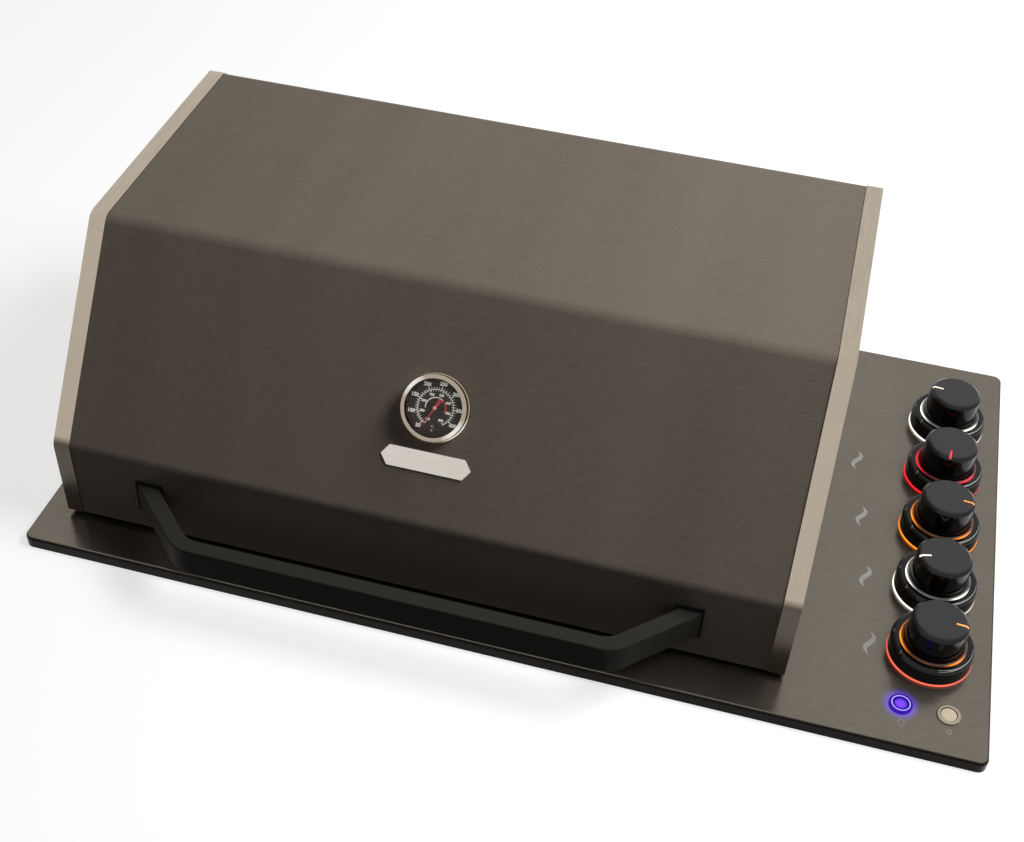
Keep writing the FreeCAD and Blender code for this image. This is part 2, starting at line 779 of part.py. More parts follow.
def make_firebox():
    """Tub with a rim on the deck, a sloping floor to the drain, ledges for the grates and the tamers."""
    t = firebox_sheet
    l, r, f, b = firebox_left, firebox_right, firebox_front, firebox_back
    walls = rounded_box(l, r, f, b, firebox_bottom, firebox_top, firebox_corner)
    rim = rounded_box(l - firebox_rim, r + firebox_rim, f - firebox_rim, b + firebox_rim, deck_height,
                      firebox_top, firebox_corner + firebox_rim)
    hollow = rounded_box(l + t, r - t, f + t, b - t, firebox_bottom - 1, firebox_top + 1, firebox_corner - t)
    tub = joined(walls, rim).cut(hollow)
    floor = funnel(0, t / 2, floor_upstand).cut(funnel(t, 0, floor_upstand + 1))
    front_ledge = box(inside_left, inside_right, inside_front, inside_front + grate_ledge,
                      grate_ledge_z - t, grate_ledge_z)
    rear_shelf = box(inside_left, inside_right, inside_back - grate_shelf, inside_back,
                     grate_ledge_z - t, grate_ledge_z)
    side_ledges = [box(x0, x0 + tamer_ledge, inside_front, inside_back - grate_shelf, tamer_ledge_z - t,
                       tamer_ledge_z) for x0 in (inside_left, inside_right - tamer_ledge)]
    inner = [piece.common(hollow) for piece in [front_ledge, rear_shelf] + side_ledges]
    tools = [rod((r - 20, y, burner_z), (1, 0, 0), burner_mouth_radius + burner_hole_clearance, 40)
             for y in burner_y]
    tools += [rod((r - 20, y + electrode_offset, electrode_z), (1, 0, 0), electrode_radius, 40)
              for y in burner_y]
    feed_hole = feed_pipe_radius + feed_hole_clearance
    tools.append(rod((r - 20, feed_pipe_y, burner_z), (1, 0, 0), feed_hole, 40))
    tools.append(rod((feed_pipe_x, feed_pipe_y, grate_ledge_z - 5), (0, 0, 1), feed_hole, 10))
    tools.append(box(inside_left, inside_right, f - 5, f + 5, firebox_bottom - 1, tray_slot_top))
    return cut_all(joined(tub, floor, *inner), tools)


def funnel(inset, grow, upstand):
    """Block that narrows from the firebox walls to the drain: its skin, or with an inset its inside."""
    t = firebox_sheet
    half_w = drain_width / 2 - inset
    half_d = drain_depth / 2 - inset
    middle_x = (inside_left + inside_right) / 2
    middle_y = (inside_front + inside_back) / 2
    lift = inset * floor_lift
    x0, x1 = inside_left - grow, inside_right + grow
    y0, y1 = inside_front - grow, inside_back + grow
    mouth = [(x0, y0), (x1, y0), (x1, y1), (x0, y1)]
    drain = [(middle_x - half_w, middle_y - half_d), (middle_x + half_w, middle_y - half_d),
             (middle_x + half_w, middle_y + half_d), (middle_x - half_w, middle_y + half_d)]
    corner = firebox_corner - t + grow
    top = outline(mouth, [corner] * 4, flat(floor_top + lift))
    low = outline(drain, [drain_corner - inset] * 4, flat(floor_bottom + lift))
    cone = Part.makeLoft([top, low], True, True)
    collar = plate(mouth, [corner] * 4, floor_top + lift, floor_top + upstand)
    spout = plate(drain, [drain_corner - inset] * 4, floor_bottom - inset, floor_bottom + lift + 0.01)
    return cone.fuse([collar, spout]) if inset else cone.fuse(collar)


def make_back_panel():
    """Upright panel behind the grates, with vents above the rear burner."""
    t = back_panel_sheet
    x0 = firebox_left + back_panel_margin
    x1 = firebox_right - back_panel_margin
    y0 = firebox_back + firebox_clearance
    z0 = firebox_top
    z1 = z0 + back_panel_height
    sheet = box(x0, x1, y0, y0 + t, z0, z1)
    foot = box(x0, x1, y0 + t, y0 + t + back_panel_foot, z0, z0 + t)
    wings = [box(x, x + t, y0 - back_panel_wing, y0, z0 + rear_burner_lift, z1) for x in (x0, x1 - t)]
    pitch = (x1 - x0) / vent_count
    vents = [box(x0 + (i + 0.5) * pitch - vent_length / 2, x0 + (i + 0.5) * pitch + vent_length / 2,
                 y0 - 5, y0 + 5, z1 - vent_drop - vent_height, z1 - vent_drop) for i in range(vent_count)]
    return cut_all(joined(sheet, foot, *wings), vents)


def rear_burner_box():
    """Corners of the rear burner's housing."""
    x0 = firebox_centre_x - rear_burner_width / 2
    y1 = firebox_back + firebox_clearance
    z0 = firebox_top + rear_burner_lift
    return x0, x0 + rear_burner_width, y1 - rear_burner_depth, y1, z0, z0 + rear_burner_height


def make_rear_burner():
    """Infrared burner: a shallow housing with a ceramic tile in its mouth and a gas stub at one end."""
    x0, x1, y0, y1, z0, z1 = rear_burner_box()
    t = rear_burner_wall
    housing = box(x0, x1, y0, y1, z0, z1).cut(box(x0 + t, x1 - t, y0 - 1, y1 - t, z0 + t, z1 - t))
    z = (z0 + z1) / 2
    stub = rod((x1, feed_pipe_y, z), (1, 0, 0), feed_pipe_radius + rear_burner_stub_wall, rear_burner_stub)
    housing = joined(housing, stub)
    housing = housing.cut(rod((x1 - 10, feed_pipe_y, z), (1, 0, 0), feed_pipe_radius + sheet_gap, 30))
    tile = box(x0 + t, x1 - t, y0 + tile_recess, y0 + tile_recess + tile_thickness, z0 + t, z1 - t)
    return Part.makeCompound([housing, tile])


def bent_tube(points, radius, bend):
    """Solid bar along straight runs joined by tangent arcs of one radius."""
    path = []
    here = Vector(*points[0])
    for i in range(1, len(points) - 1):
        corner = Vector(*points[i])
        back = Vector(*points[i - 1]) - corner
        on = Vector(*points[i + 1]) - corner
        back.normalize()
        on.normalize()
        half = back.getAngle(on) / 2
        reach = bend / math.tan(half)
        towards = back + on
        towards.normalize()
        start = corner + back * reach
        end = corner + on * reach
        middle = corner + towards * (bend / math.sin(half) - bend)
        path.append(Part.LineSegment(here, start).toShape())
        path.append(Part.Arc(start, middle, end).toShape())
        here = end
    path.append(Part.LineSegment(here, Vector(*points[-1])).toShape())
    wire = Part.Wire(path)
    heading = Vector(*points[1]) - Vector(*points[0])
    section = Part.Wire(Part.makeCircle(radius, Vector(*points[0]), heading))
    return wire.makePipeShell([section], True, False)


def make_feed_pipe():
    """Pipe from the rear burner's valve, through the firebox wall and up to the burner's stub."""
    x0, x1, y0, y1, z0, z1 = rear_burner_box()
    start_x = knob_x - valve_half_x - outlet_length
    bend_x = start_x - feed_pipe_lead
    route = [(start_x, knob_y[0], burner_z), (bend_x, knob_y[0], burner_z),
             (bend_x - feed_pipe_shift, feed_pipe_y, burner_z), (feed_pipe_x, feed_pipe_y, burner_z),
             (feed_pipe_x, feed_pipe_y, (z0 + z1) / 2), (x1, feed_pipe_y, (z0 + z1) / 2)]
    return bent_tube(route, feed_pipe_radius, feed_pipe_bend).cut(
        bent_tube(route, feed_pipe_bore, feed_pipe_bend))


def burner_profile(y, grow):
    """Turned outline of one burner tube about its own axis along X."""
    left = inside_left + burner_end_gap
    neck_x = inside_right - burner_shoulder
    body = burner_radius - grow
    neck = burner_neck_radius - grow
    mouth = burner_mouth_radius - grow
    points = [(left + grow, 0), (left + grow, body), (neck_x, body), (neck_x + burner_shoulder_length, neck),
              (burner_mouth_x - burner_mouth_length, neck), (burner_mouth_x + (1 if grow else 0), mouth),
              (burner_mouth_x + (1 if grow else 0), 0)]
    wire = outline(points, [0, burner_end_corner - grow, 0, 0, 0, 0, 0],
                   lambda u, v: Vector(u, y, burner_z + v))
    return Part.Face(wire).revolve(Vector(0, y, burner_z), Vector(1, 0, 0), 360)


def make_burner(y):
    """Tube burner with a row of flame ports on each shoulder and air windows behind its mouth."""
    body = burner_profile(y, 0)
    peg = rod((inside_left, y, burner_z), (1, 0, 0), burner_peg_radius, burner_end_gap + 1)
    left = inside_left + burner_end_gap + port_row_left
    right = inside_right - burner_shoulder - port_row_right
    pitch = (right - left) / port_count
    tools = [burner_profile(y, burner_wall)]
    for sign in (-1, 1):
        for i in range(port_count):
            slot = box(left + i * pitch, left + i * pitch + port_length, -port_width / 2, port_width / 2,
                       burner_radius - 5, burner_radius + 5)
            slot.Placement = Placement(Vector(0, y, burner_z), Rotation(Vector(1, 0, 0), sign * port_angle))
            tools.append(slot)
    window_x = burner_mouth_x - air_window_setback
    half = air_window_width / 2
    tools.append(box(window_x - air_window_length, window_x, y - half, y + half, burner_z - 30, burner_z + 30))
    return joined(body, peg).cut(Part.makeCompound(tools[:1])).cut(Part.makeCompound(tools[1:]))


def make_tamer(y):
    """Inverted V of sheet above one burner."""
    foot = tamer_half_width
    low = tamer_ledge_z
    high = low + tamer_rise
    t = tamer_sheet
    lean = t * math.hypot(foot, tamer_rise) / tamer_rise
    points = [(y - foot, low), (y, high), (y + foot, low), (y + foot - lean, low),
              (y, high - t * math.hypot(foot, tamer_rise) / foot), (y - foot + lean, low)]
    x0 = inside_left + tamer_end_gap
    return Part.Face(outline(points, [0] * 6, side(x0))).extrude(
        Vector(inside_right - tamer_end_gap - x0, 0, 0))


def grate_bays():
    """X range of each of the three cooking plates."""
    clear = inside_right - inside_left - 2 * grate_edge_gap - 2 * grate_gap
    width = clear / 3
    starts = [inside_left + grate_edge_gap + i * (width + grate_gap) for i in range(3)]
    return [(x, x + width) for x in starts]


def make_grate(x0, x1):
    """Cast grate: a frame with bars from front to back."""
    y0 = inside_front + grate_edge_gap
    y1 = inside_back - grate_shelf + grate_ledge
    z1 = grate_ledge_z + grate_thickness
    frame = rounded_box(x0, x1, y0, y1, grate_ledge_z, z1, grate_corner)
    fx0, fx1 = x0 + grate_frame, x1 - grate_frame
    fy0, fy1 = y0 + grate_frame, y1 - grate_frame
    gap = (fx1 - fx0 - grate_bar_count * grate_bar) / (grate_bar_count + 1)
    tools = [box(fx0 + i * (gap + grate_bar), fx0 + i * (gap + grate_bar) + gap, fy0, fy1,
                 grate_ledge_z - 1, z1 + 1) for i in range(grate_bar_count + 1)]
    tools.append(box(fx0, fx1, fy0, fy1, grate_ledge_z - 1, z1 - grate_bar_height))
    return cut_all(frame, tools)


def make_hotplate(x0, x1):
    """Cast hotplate with a raised lip and a grease slot at the front."""
    y0 = inside_front + grate_edge_gap
    y1 = inside_back - grate_shelf + grate_ledge
    z1 = grate_ledge_z + grate_thickness
    plate_body = rounded_box(x0, x1, y0, y1, grate_ledge_z, z1, grate_corner)
    well = rounded_box(x0 + hotplate_lip, x1 - hotplate_lip, y0 + hotplate_lip, y1 - hotplate_lip,
                       grate_ledge_z + hotplate_floor, z1 + 1, hotplate_corner)
    slot_front = y0 + hotplate_slot_setback
    slot = rounded_box(x0 + hotplate_slot_margin, x1 - hotplate_slot_margin, slot_front,
                       slot_front + hotplate_slot_width, grate_ledge_z - 1, z1, hotplate_slot_width / 2 - 0.1)
    return cut_all(plate_body, [well, slot])


def make_rack():
    """Warming rack of round wire that stands on the firebox rim."""
    x0 = firebox_left - firebox_rim / 2
    x1 = firebox_right + firebox_rim / 2
    stand = firebox_top
    pieces = []
    for x in (x0, x1):
        leg = [(x, rack_front, stand), (x, rack_front, rack_z), (x, rack_back, rack_z), (x, rack_back, stand)]
        pieces.append(bent_tube(leg, rack_wire, rack_bend))
    for y in (rack_front + rack_rail_inset, rack_back - rack_rail_inset):
        pieces.append(rod((x0, y, rack_z), (1, 0, 0), rack_rod, x1 - x0))
    pitch = (x1 - x0) / rack_rod_count
    for i in range(1, rack_rod_count):
        margin = rack_rail_inset - rack_rod_overhang
        pieces.append(rod((x0 + i * pitch, rack_front + margin, rack_z + rack_rod), (0, 1, 0), rack_thin_rod,
                          rack_depth - 2 * margin))
    return pieces[0].fuse(pieces[1:])


def make_control_box():
    """Open-topped folded box that covers the valves from below."""
    t = box_sheet
    d = box_half_depth
    shell = box(box_left, box_right, -d, d, box_bottom, deck_under).cut(
        box(box_left + t, box_right - t, -d + t, d - t, box_bottom + t, deck_under + 1))
    tools = [rod((box_left - 5, y, burner_z), (1, 0, 0), burner_mouth_radius + burner_hole_clearance, 10)
             for y in burner_y]
    tools += [rod((box_left - 5, y + electrode_offset, electrode_z), (1, 0, 0),
                  electrode_radius + electrode_hole_clearance, 10) for y in burner_y]
    tools.append(rod((box_left - 5, feed_pipe_y, burner_z), (1, 0, 0),
                     feed_pipe_radius + feed_hole_clearance, 10))
    tools.append(rod((knob_x, inlet_y(), box_bottom - 5), (0, 0, 1),
                     inlet_pipe_radius + inlet_hole_clearance, 10))
    tools.append(rod((socket_x, d - 5, socket_z), (0, 1, 0), socket_radius + socket_clearance, 10))
    for i in range(box_vent_count):
        y = (i - (box_vent_count - 1) / 2) * box_vent_pitch
        tools.append(box(box_right - 5, box_right + 5, y - box_vent_width / 2, y + box_vent_width / 2,
                         box_bottom + box_vent_lift, box_bottom + box_vent_lift + box_vent_length))
    return cut_all(shell, tools)


def inlet_y():
    """Y of the gas inlet's drop."""
    return knob_y[0] + manifold_back_margin + inlet_block / 2


def make_gas_train():
    """Manifold with a boss under each valve, and the inlet elbow with its threaded socket."""
    y0 = knob_y[-1] - manifold_front_margin
    y1 = knob_y[0] + manifold_back_margin
    top = valve_bottom - inlet_stub
    bosses = [rod((knob_x, y, manifold_z), (0, 0, 1), manifold_boss_radius, top - manifold_z) for y in knob_y]
    floor = box_bottom + box_sheet
    half = manifold_foot / 2
    feet = [box(knob_x - half, knob_x + half, y - half, y + half, floor, manifold_z)
            for y in (y0 + manifold_foot, y1 - manifold_foot)]
    pipe = joined(rod((knob_x, y0, manifold_z), (0, 1, 0), manifold_radius, y1 - y0), *bosses, *feet)
    bores = [rod((knob_x, y0 + manifold_cap, manifold_z), (0, 1, 0), manifold_bore, y1 - y0)]
    bores += [rod((knob_x, y, manifold_z), (0, 0, 1), manifold_port, 20) for y in knob_y]
    parts["gas_manifold"] = cut_all(pipe, bores)
    half = inlet_block / 2
    y = inlet_y()
    elbow = box(knob_x - half, knob_x + half, y - half, y + half, manifold_z - half, manifold_z + half)
    drop = rod((knob_x, y, inlet_socket_top), (0, 0, 1), inlet_pipe_radius,
               manifold_z - half - inlet_socket_top)
    socket = rod((knob_x, y, inlet_socket_bottom), (0, 0, 1), inlet_socket_radius,
                 inlet_socket_top - inlet_socket_bottom)
    tools = [rod((knob_x, y - half - 1, manifold_z), (0, 1, 0), inlet_channel, half + 1),
             rod((knob_x, y, inlet_socket_bottom), (0, 0, 1), inlet_channel, manifold_z - inlet_socket_bottom),
             rod((knob_x, y, inlet_socket_bottom - 1), (0, 0, 1), inlet_thread_radius, inlet_thread_depth + 1)]
    parts["gas_inlet"] = cut_all(joined(elbow, drop, socket), tools)


def make_valves():
    """Brass valve bodies with a tapered bore, each with its outlet jet."""
    pieces = []
    for i, y in enumerate(knob_y):
        block = box(knob_x - valve_half_x, knob_x + valve_half_x, y - valve_half_y, y + valve_half_y,
                    valve_bottom, valve_top)
        bonnet = rod((knob_x, y, valve_top), (0, 0, 1), bonnet_radius, bonnet_top - valve_top)
        outlet = rod((knob_x - valve_half_x, y, burner_z), (-1, 0, 0), outlet_radius, outlet_length)
        inlet = rod((knob_x, y, valve_bottom - inlet_stub), (0, 0, 1), inlet_radius, inlet_stub)
        c = plug_clearance
        bore = Part.makeCone(plug_bottom_radius + c, plug_top_radius + c, plug_height + 2 * plug_end_gap,
                             Vector(knob_x, y, plug_bottom - plug_end_gap))
        stem_bore = rod((knob_x, y, plug_top - 1), (0, 0, 1), stem_radius + 2 * stem_clearance, 30)
        ways = [bore, stem_bore,
                rod((knob_x, y, valve_bottom - 9), (0, 0, 1), gas_way, plug_bottom - valve_bottom + 10),
                rod((knob_x, y, burner_z), (-1, 0, 0), gas_way, valve_half_x + outlet_length + 1)]
        pieces.append(cut_all(joined(block, bonnet, outlet, inlet), ways))
        if i > 0:
            tip = knob_x - valve_half_x - outlet_length
            jet = rod((tip, y, burner_z), (-1, 0, 0), jet_radius, jet_length)
            pieces.append(jet.cut(rod((tip + 1, y, burner_z), (-1, 0, 0), jet_bore, jet_length + 2)))
    return Part.makeCompound(pieces)


def d_bar(x, y, z0, z1, radius, flat_depth, turn):
    """Upright round bar with one flat, turned to an angle in plan."""
    bar = Part.makeCylinder(radius, z1 - z0, Vector(0, 0, z0))
    bar = bar.cut(box(radius - flat_depth, radius + 1, -radius - 1, radius + 1, z0 - 1, z1 + 1))
    bar.Placement = Placement(Vector(x, y, 0), Rotation(Vector(0, 0, 1), turn))
    return bar


def make_knob(index):
    """Knob, its stem and the tapered plug that the stem turns and slides in."""
    y = knob_y[index]
    z = deck_height
    turn = knob_off_angle + knob_rest_turns[index]
    top = knob_top
    outer = turned([(0, knob_bottom), (knob_radius, knob_bottom), (knob_top_radius, top - knob_bevel),
                    (knob_face_radius, top), (0, top)], [0, knob_edge, knob_shoulder, knob_edge, 0],
                   knob_x, y, z)
    cavity = turned([(knob_hub_radius, knob_bottom - 1), (knob_radius - knob_wall, knob_bottom - 1),
                     (knob_top_radius - knob_wall, top - knob_roof - knob_cavity_gap),
                     (knob_hub_radius, top - knob_roof - knob_cavity_gap)], [0, 0, knob_cavity_corner, 0],
                    knob_x, y, z)
    hub = rod((knob_x, y, z + knob_bottom - knob_hub_drop), (0, 0, 1), knob_hub_radius, knob_hub_drop + 1)
    hub_bottom = z + knob_bottom - knob_hub_drop
    bore_top = hub_bottom + stem_hub_depth
    bore = d_bar(knob_x, y, hub_bottom - 1, bore_top, stem_radius + stem_clearance, stem_flat, turn)
    slot = box(pointer_inner, pointer_outer + 2, -pointer_width / 2, pointer_width / 2,
               top - pointer_depth, top + 1)
    slot.Placement = Placement(Vector(knob_x, y, z), Rotation(Vector(0, 0, 1), turn))
    parts["knob_%d" % (index + 1)] = joined(outer.cut(cavity), hub).cut(bore).cut(slot)
    stem_bottom = plug_top - stem_engagement
    stem = d_bar(knob_x, y, stem_bottom, bore_top - 0.2, stem_radius, stem_flat + stem_clearance, turn)
    parts["knob_stem_%d" % (index + 1)] = stem
    plug = Part.makeCone(plug_bottom_radius, plug_top_radius, plug_height, Vector(knob_x, y, plug_bottom))
    socket = d_bar(knob_x, y, plug_top - plug_socket_depth, plug_top + 1, stem_radius + stem_clearance,
                   stem_flat - stem_clearance, turn)
    way = rod((knob_x, y, burner_z), (1, 0, 0), plug_way, 2 * plug_top_radius)
    way = way.fuse(rod((knob_x, y, plug_bottom - 1), (0, 0, 1), plug_way, burner_z - plug_bottom + 1))
    parts["valve_plug_%d" % (index + 1)] = plug.cut(socket).cut(way)


def make_bezels():
    """Glossy bezel rings on clear light guides, with a ring of lamps inside each."""
    guides = []
    boards = []
    z = deck_height
    for i, y in enumerate(knob_y):
        seat = guide_flange_height
        guides.append(turned([(guide_inner_radius, 0), (guide_flange_radius, 0), (guide_flange_radius, seat),
                              (guide_outer_radius, seat), (guide_outer_radius, guide_height),
                              (guide_inner_radius, guide_height)],
                             [0, 0, guide_edge, 0, guide_edge, guide_edge], knob_x, y, z))
        bore = guide_outer_radius + bezel_clearance
        w = bezel_wall
        ring = turned([(bore, seat), (bezel_radius, seat), (bezel_radius, bezel_height), (bore, bezel_height)],
                      [0, bezel_edge, bezel_shoulder, bezel_edge], knob_x, y, z)
        hollow = turned([(bore + w, seat - 1), (bezel_radius - w, seat - 1),
                         (bezel_radius - w, bezel_height - w), (bore + w, bezel_height - w)],
                        [0, 0, bezel_shoulder - w, 0], knob_x, y, z)
        parts["bezel_%d" % (i + 1)] = ring.cut(hollow)
        r0 = bore + w + led_board_gap
        r1 = bezel_radius - w - led_board_gap
        board = turned([(r0, seat), (r1, seat), (r1, seat + led_board_sheet), (r0, seat + led_board_sheet)],
                       [0] * 4, knob_x, y, z)
        middle = (r0 + r1) / 2
        lamps = []
        for k in range(led_count):
            a = 2 * math.pi * k / led_count
            cx, cy = knob_x + middle * math.cos(a), y + middle * math.sin(a)
            half = led_size / 2
            lamps.append(box(cx - half, cx + half, cy - half, cy + half, z + seat + led_board_sheet,
                             z + seat + led_board_sheet + led_height))
        boards.append(joined(board, *lamps))
    parts["light_rings"] = Part.makeCompound(guides)
    parts["led_boards"] = Part.makeCompound(boards)


def make_buttons():
    """Housings through the deck, with nuts below and caps that push in."""
    housings = []
    nuts = []
    z = deck_height
    for x, name in zip(button_places(), ("light_button_cap", "ignition_button_cap")):
        head = turned([(0, 0), (button_head_radius, 0), (button_head_radius, button_head_height),
                       (0, button_head_height)], [0, 0, button_head_edge, 0], x, button_row_y, z)
        body = rod((x, button_row_y, z - button_length), (0, 0, 1), button_thread_radius, button_length)
        bore = button_cap_radius + button_cap_gap
        deep = button_recess + button_travel
        well = rod((x, button_row_y, z + button_head_height - deep), (0, 0, 1), bore, deep + 1)
        guide = rod((x, button_row_y, z - button_cap_stem - button_travel - 1), (0, 0, 1),
                    button_stem_radius + button_stem_clearance, 30)
        housings.append(joined(head, body).cut(well).cut(guide))
        under = deck_under - button_nut_height
        nut = hexagon(x, button_row_y, under, button_nut_flats, button_nut_height)
        nuts.append(nut.cut(rod((x, button_row_y, under - 1), (0, 0, 1), button_thread_radius + sheet_gap, 10)))
        cap_low = z + button_head_height - button_recess
        cap = turned([(0, 0), (button_cap_radius, 0), (button_cap_radius, button_cap_height),
                      (0, button_cap_height)], [0, 0, button_cap_edge, 0], x, button_row_y, cap_low)
        stalk = rod((x, button_row_y, z - button_cap_stem), (0, 0, 1), button_stem_radius,
                    cap_low - z + button_cap_stem)
        parts[name] = joined(cap, stalk)
    parts["button_housings"] = Part.makeCompound(housings)
    return nuts


def make_clamps():
    """Bolts under the deck with dogs that grip the bench from below."""
    pieces = []
    width, length, thick = clamp_dog
    for x in clamp_x:
        for sign in (-1, 1):
            y = sign * clamp_y
            pieces.append(rod((x, y, clamp_bolt_bottom), (0, 0, 1), clamp_bolt_radius,
                              deck_under - clamp_bolt_bottom))
            y0 = y - sign * clamp_dog_back
            y1 = y0 + sign * length
            dog = box(x - width / 2, x + width / 2, min(y0, y1), max(y0, y1), -clamp_bench - thick,
                      -clamp_bench)
            hole = rod((x, y, -clamp_bench - 10), (0, 0, 1), clamp_bolt_radius + clamp_clearance, 20)
            pieces.append(dog.cut(hole))
            nut = rod((x, y, -clamp_bench - thick - clamp_nut_height), (0, 0, 1), clamp_nut_radius,
                      clamp_nut_height)
            pieces.append(nut.cut(hole))
    return pieces


def make_ignition():
    """Spark module, electrodes beside the burners and the lamp driver with its power socket."""
    z = box_bottom + box_sheet
    w, d, h = igniter_size
    x = box_left + igniter_inset[0]
    y = -box_half_depth + igniter_inset[1]
    case = rounded_box(x, x + w, y, y + d, z, z + h, 3)
    terminals = [rod((x + 10 + 10 * i, y + d / 2, z + h), (0, 0, 1), terminal_radius, terminal_height)
                 for i in range(knob_count)]
    parts["igniter_module"] = joined(case, *terminals)
    rods = []
    for burner in burner_y:
        yy = burner + electrode_offset
        ceramic = rod((electrode_inner, yy, electrode_z), (1, 0, 0), electrode_radius,
                      electrode_outer - electrode_inner)
        tip = rod((electrode_inner - electrode_tip_length, yy, electrode_z), (1, 0, 0), electrode_tip_radius,
                  electrode_tip_length + 2)
        rods.append(joined(ceramic, tip))
    parts["electrodes"] = Part.makeCompound(rods)
    w, d, h = driver_size
    x = box_left + driver_inset[0]
    y = box_half_depth - driver_inset[1] - d
    case = rounded_box(x, x + w, y, y + d, z, z + h, 3)
    barrel = rod((socket_x, y + d - 1, socket_z), (0, 1, 0), socket_radius, box_half_depth - y - d + 1)
    flange = rod((socket_x, box_half_depth, socket_z), (0, 1, 0), socket_flange, socket_flange_thickness)
    bore = rod((socket_x, box_half_depth + socket_flange_thickness - socket_depth, socket_z), (0, 1, 0),
               socket_bore, socket_depth + 1)
    parts["led_driver"] = joined(case, barrel, flange).cut(bore)


def tray_sides():
    """X of the drip tray's left and right walls."""
    reach = runner_sheet + runner_leg + tray_side_gap
    return inside_left + reach, inside_right - reach


def make_drip_tray():
    """Shallow tray that hangs by its side flanges, with a front plate, a pull lip and rails for the cup."""
    t = tray_sheet
    x0, x1 = tray_sides()
    y0 = inside_front + runner_front_gap
    y1 = inside_back - tray_back_gap
    rest = runner_bottom + runner_sheet + tray_clearance
    top = rest + t
    low = top - tray_depth
    pan = box(x0, x1, y0, y1, low, top).cut(box(x0 + t, x1 - t, y0 + t, y1 - t, low + t, top + 1))
    flanges = [box(x0 - tray_flange, x0, y0, y1, rest, top), box(x1, x1 + tray_flange, y0, y1, rest, top)]
    face_y = firebox_front - tray_clearance
    front = box(x0 - tray_flange, x1 + tray_flange, face_y - t, face_y, low, tray_slot_top + tray_front_rise)
    bridge = box(x0 + tray_bridge_margin, x1 - tray_bridge_margin, face_y, y0, low, low + tray_bridge_height)
    lip_x0, lip_x1 = x0 + tray_lip_margin, x1 - tray_lip_margin
    lip = box(lip_x0, lip_x1, face_y - t - tray_lip, face_y - t, low, low + t)
    turn_up = box(lip_x0, lip_x1, face_y - t - tray_lip, face_y - tray_lip, low + t, low + tray_lip_rise)
    rails = []
    cx, cy = (x0 + x1) / 2, (y0 + y1) / 2
    g = cup_clearance
    s = cup_rail_sheet
    for sign in (-1, 1):
        web = cx + sign * (cup_length / 2 + cup_rim + g)
        hook = web - sign * (cup_rim - cup_hook_gap)
        outer = web + sign * s
        rail_low = low - cup_sheet - 2 * g - s
        rails.append(box(min(web, outer), max(web, outer), y0, cy + cup_depth / 2, rail_low, low))
        rails.append(box(min(web, hook), max(web, hook), y0, cy + cup_depth / 2, rail_low, rail_low + s))
    drain = rod((cx, cy, low - 5), (0, 0, 1), tray_drain_radius, 10)
    parts["drip_tray"] = joined(pan, *flanges, front, bridge, lip, turn_up, *rails).cut(drain)
    r = cup_rim
    cup_top = low - g
    half_l, half_d = cup_length / 2, cup_depth / 2
    bowl = rounded_box(cx - half_l, cx + half_l, cy - half_d, cy + half_d, cup_top - cup_height, cup_top,
                       cup_corner)
    rim = box(cx - half_l - r, cx + half_l + r, cy - half_d, cy + half_d, cup_top - cup_sheet, cup_top)
    c = cup_sheet
    inner = rounded_box(cx - half_l + c, cx + half_l - c, cy - half_d + c, cy + half_d - c,
                        cup_top - cup_height + c, cup_top + 1, cup_corner - c)
    parts["grease_cup"] = joined(bowl, rim).cut(inner)


def make_runners():
    """C-shaped rails on the inside of the firebox's lower walls."""
    t = runner_sheet
    y0 = inside_front + runner_front_gap + runner_end_gap
    y1 = inside_back - runner_end_gap
    pieces = []
    for wall, inward in ((inside_left, 1), (inside_right, -1)):
        web = wall + inward * t
        tip = web + inward * runner_leg
        upright = box(min(wall, web), max(wall, web), y0, y1, runner_bottom, runner_top)
        lower = box(min(wall, tip), max(wall, tip), y0, y1, runner_bottom, runner_bottom + t)
        upper = box(min(wall, tip), max(wall, tip), y0, y1, runner_top - t, runner_top)
        pieces.append(joined(upright, lower, upper))
    return Part.makeCompound(pieces)


parts["deck_panel"] = make_deck()
make_hood()
make_hinge()
make_handle()
make_gauge()
parts["firebox"] = make_firebox()
parts["back_panel"] = make_back_panel()
parts["rear_burner"] = make_rear_burner()
parts["rear_burner_pipe"] = make_feed_pipe()
parts["main_burners"] = Part.makeCompound([make_burner(y) for y in burner_y])
parts["flame_tamers"] = Part.makeCompound([make_tamer(y) for y in burner_y])
bays = grate_bays()
parts["cooking_grates"] = Part.makeCompound([make_grate(*bay) for bay in bays[:2]])
parts["hotplate"] = make_hotplate(*bays[2])
parts["warming_rack"] = make_rack()
parts["control_box"] = make_control_box()
make_gas_train()
parts["gas_valves"] = make_valves()
for number in range(knob_count):
    make_knob(number)
make_bezels()
parts["deck_fasteners"] = Part.makeCompound(make_buttons() + make_clamps())
make_ignition()
make_drip_tray()
parts["tray_runners"] = make_runners()

os.makedirs("parts", exist_ok=True)
for name, shape in parts.items():
    solids = shape.Solids
    valid = shape.isValid()
    state = "ok" if valid else "INVALID"
    print("%-22s %2d solids  %9.1f cm3  %s" % (name, len(solids), shape.Volume / 1000, state))
    shape.exportStep("parts/%s.step" % name)
print(len(parts), "nodes")
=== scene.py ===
# %% [markdown]
# # A built-in gas grill, closed, with its knobs lit
# This lesson dresses a finished CAD model. The real object is a drop-in grill: a brushed black deck that
# rests on a benchtop, a dark coated hood with bright steel ends, a black bar handle, a dial thermometer and
# five gas knobs that stand on glowing rings. The CAD model already has every shape that must be exact, so
# Blender adds what CAD leaves out: finishes, printed marks, light, a bench and a camera. Everything is in
# metres in the CAD model's own frame: X to the right, Y to the back, Z up, zero on the benchtop.

import math

import bpy
import numpy as np
from mathutils import Matrix, Vector


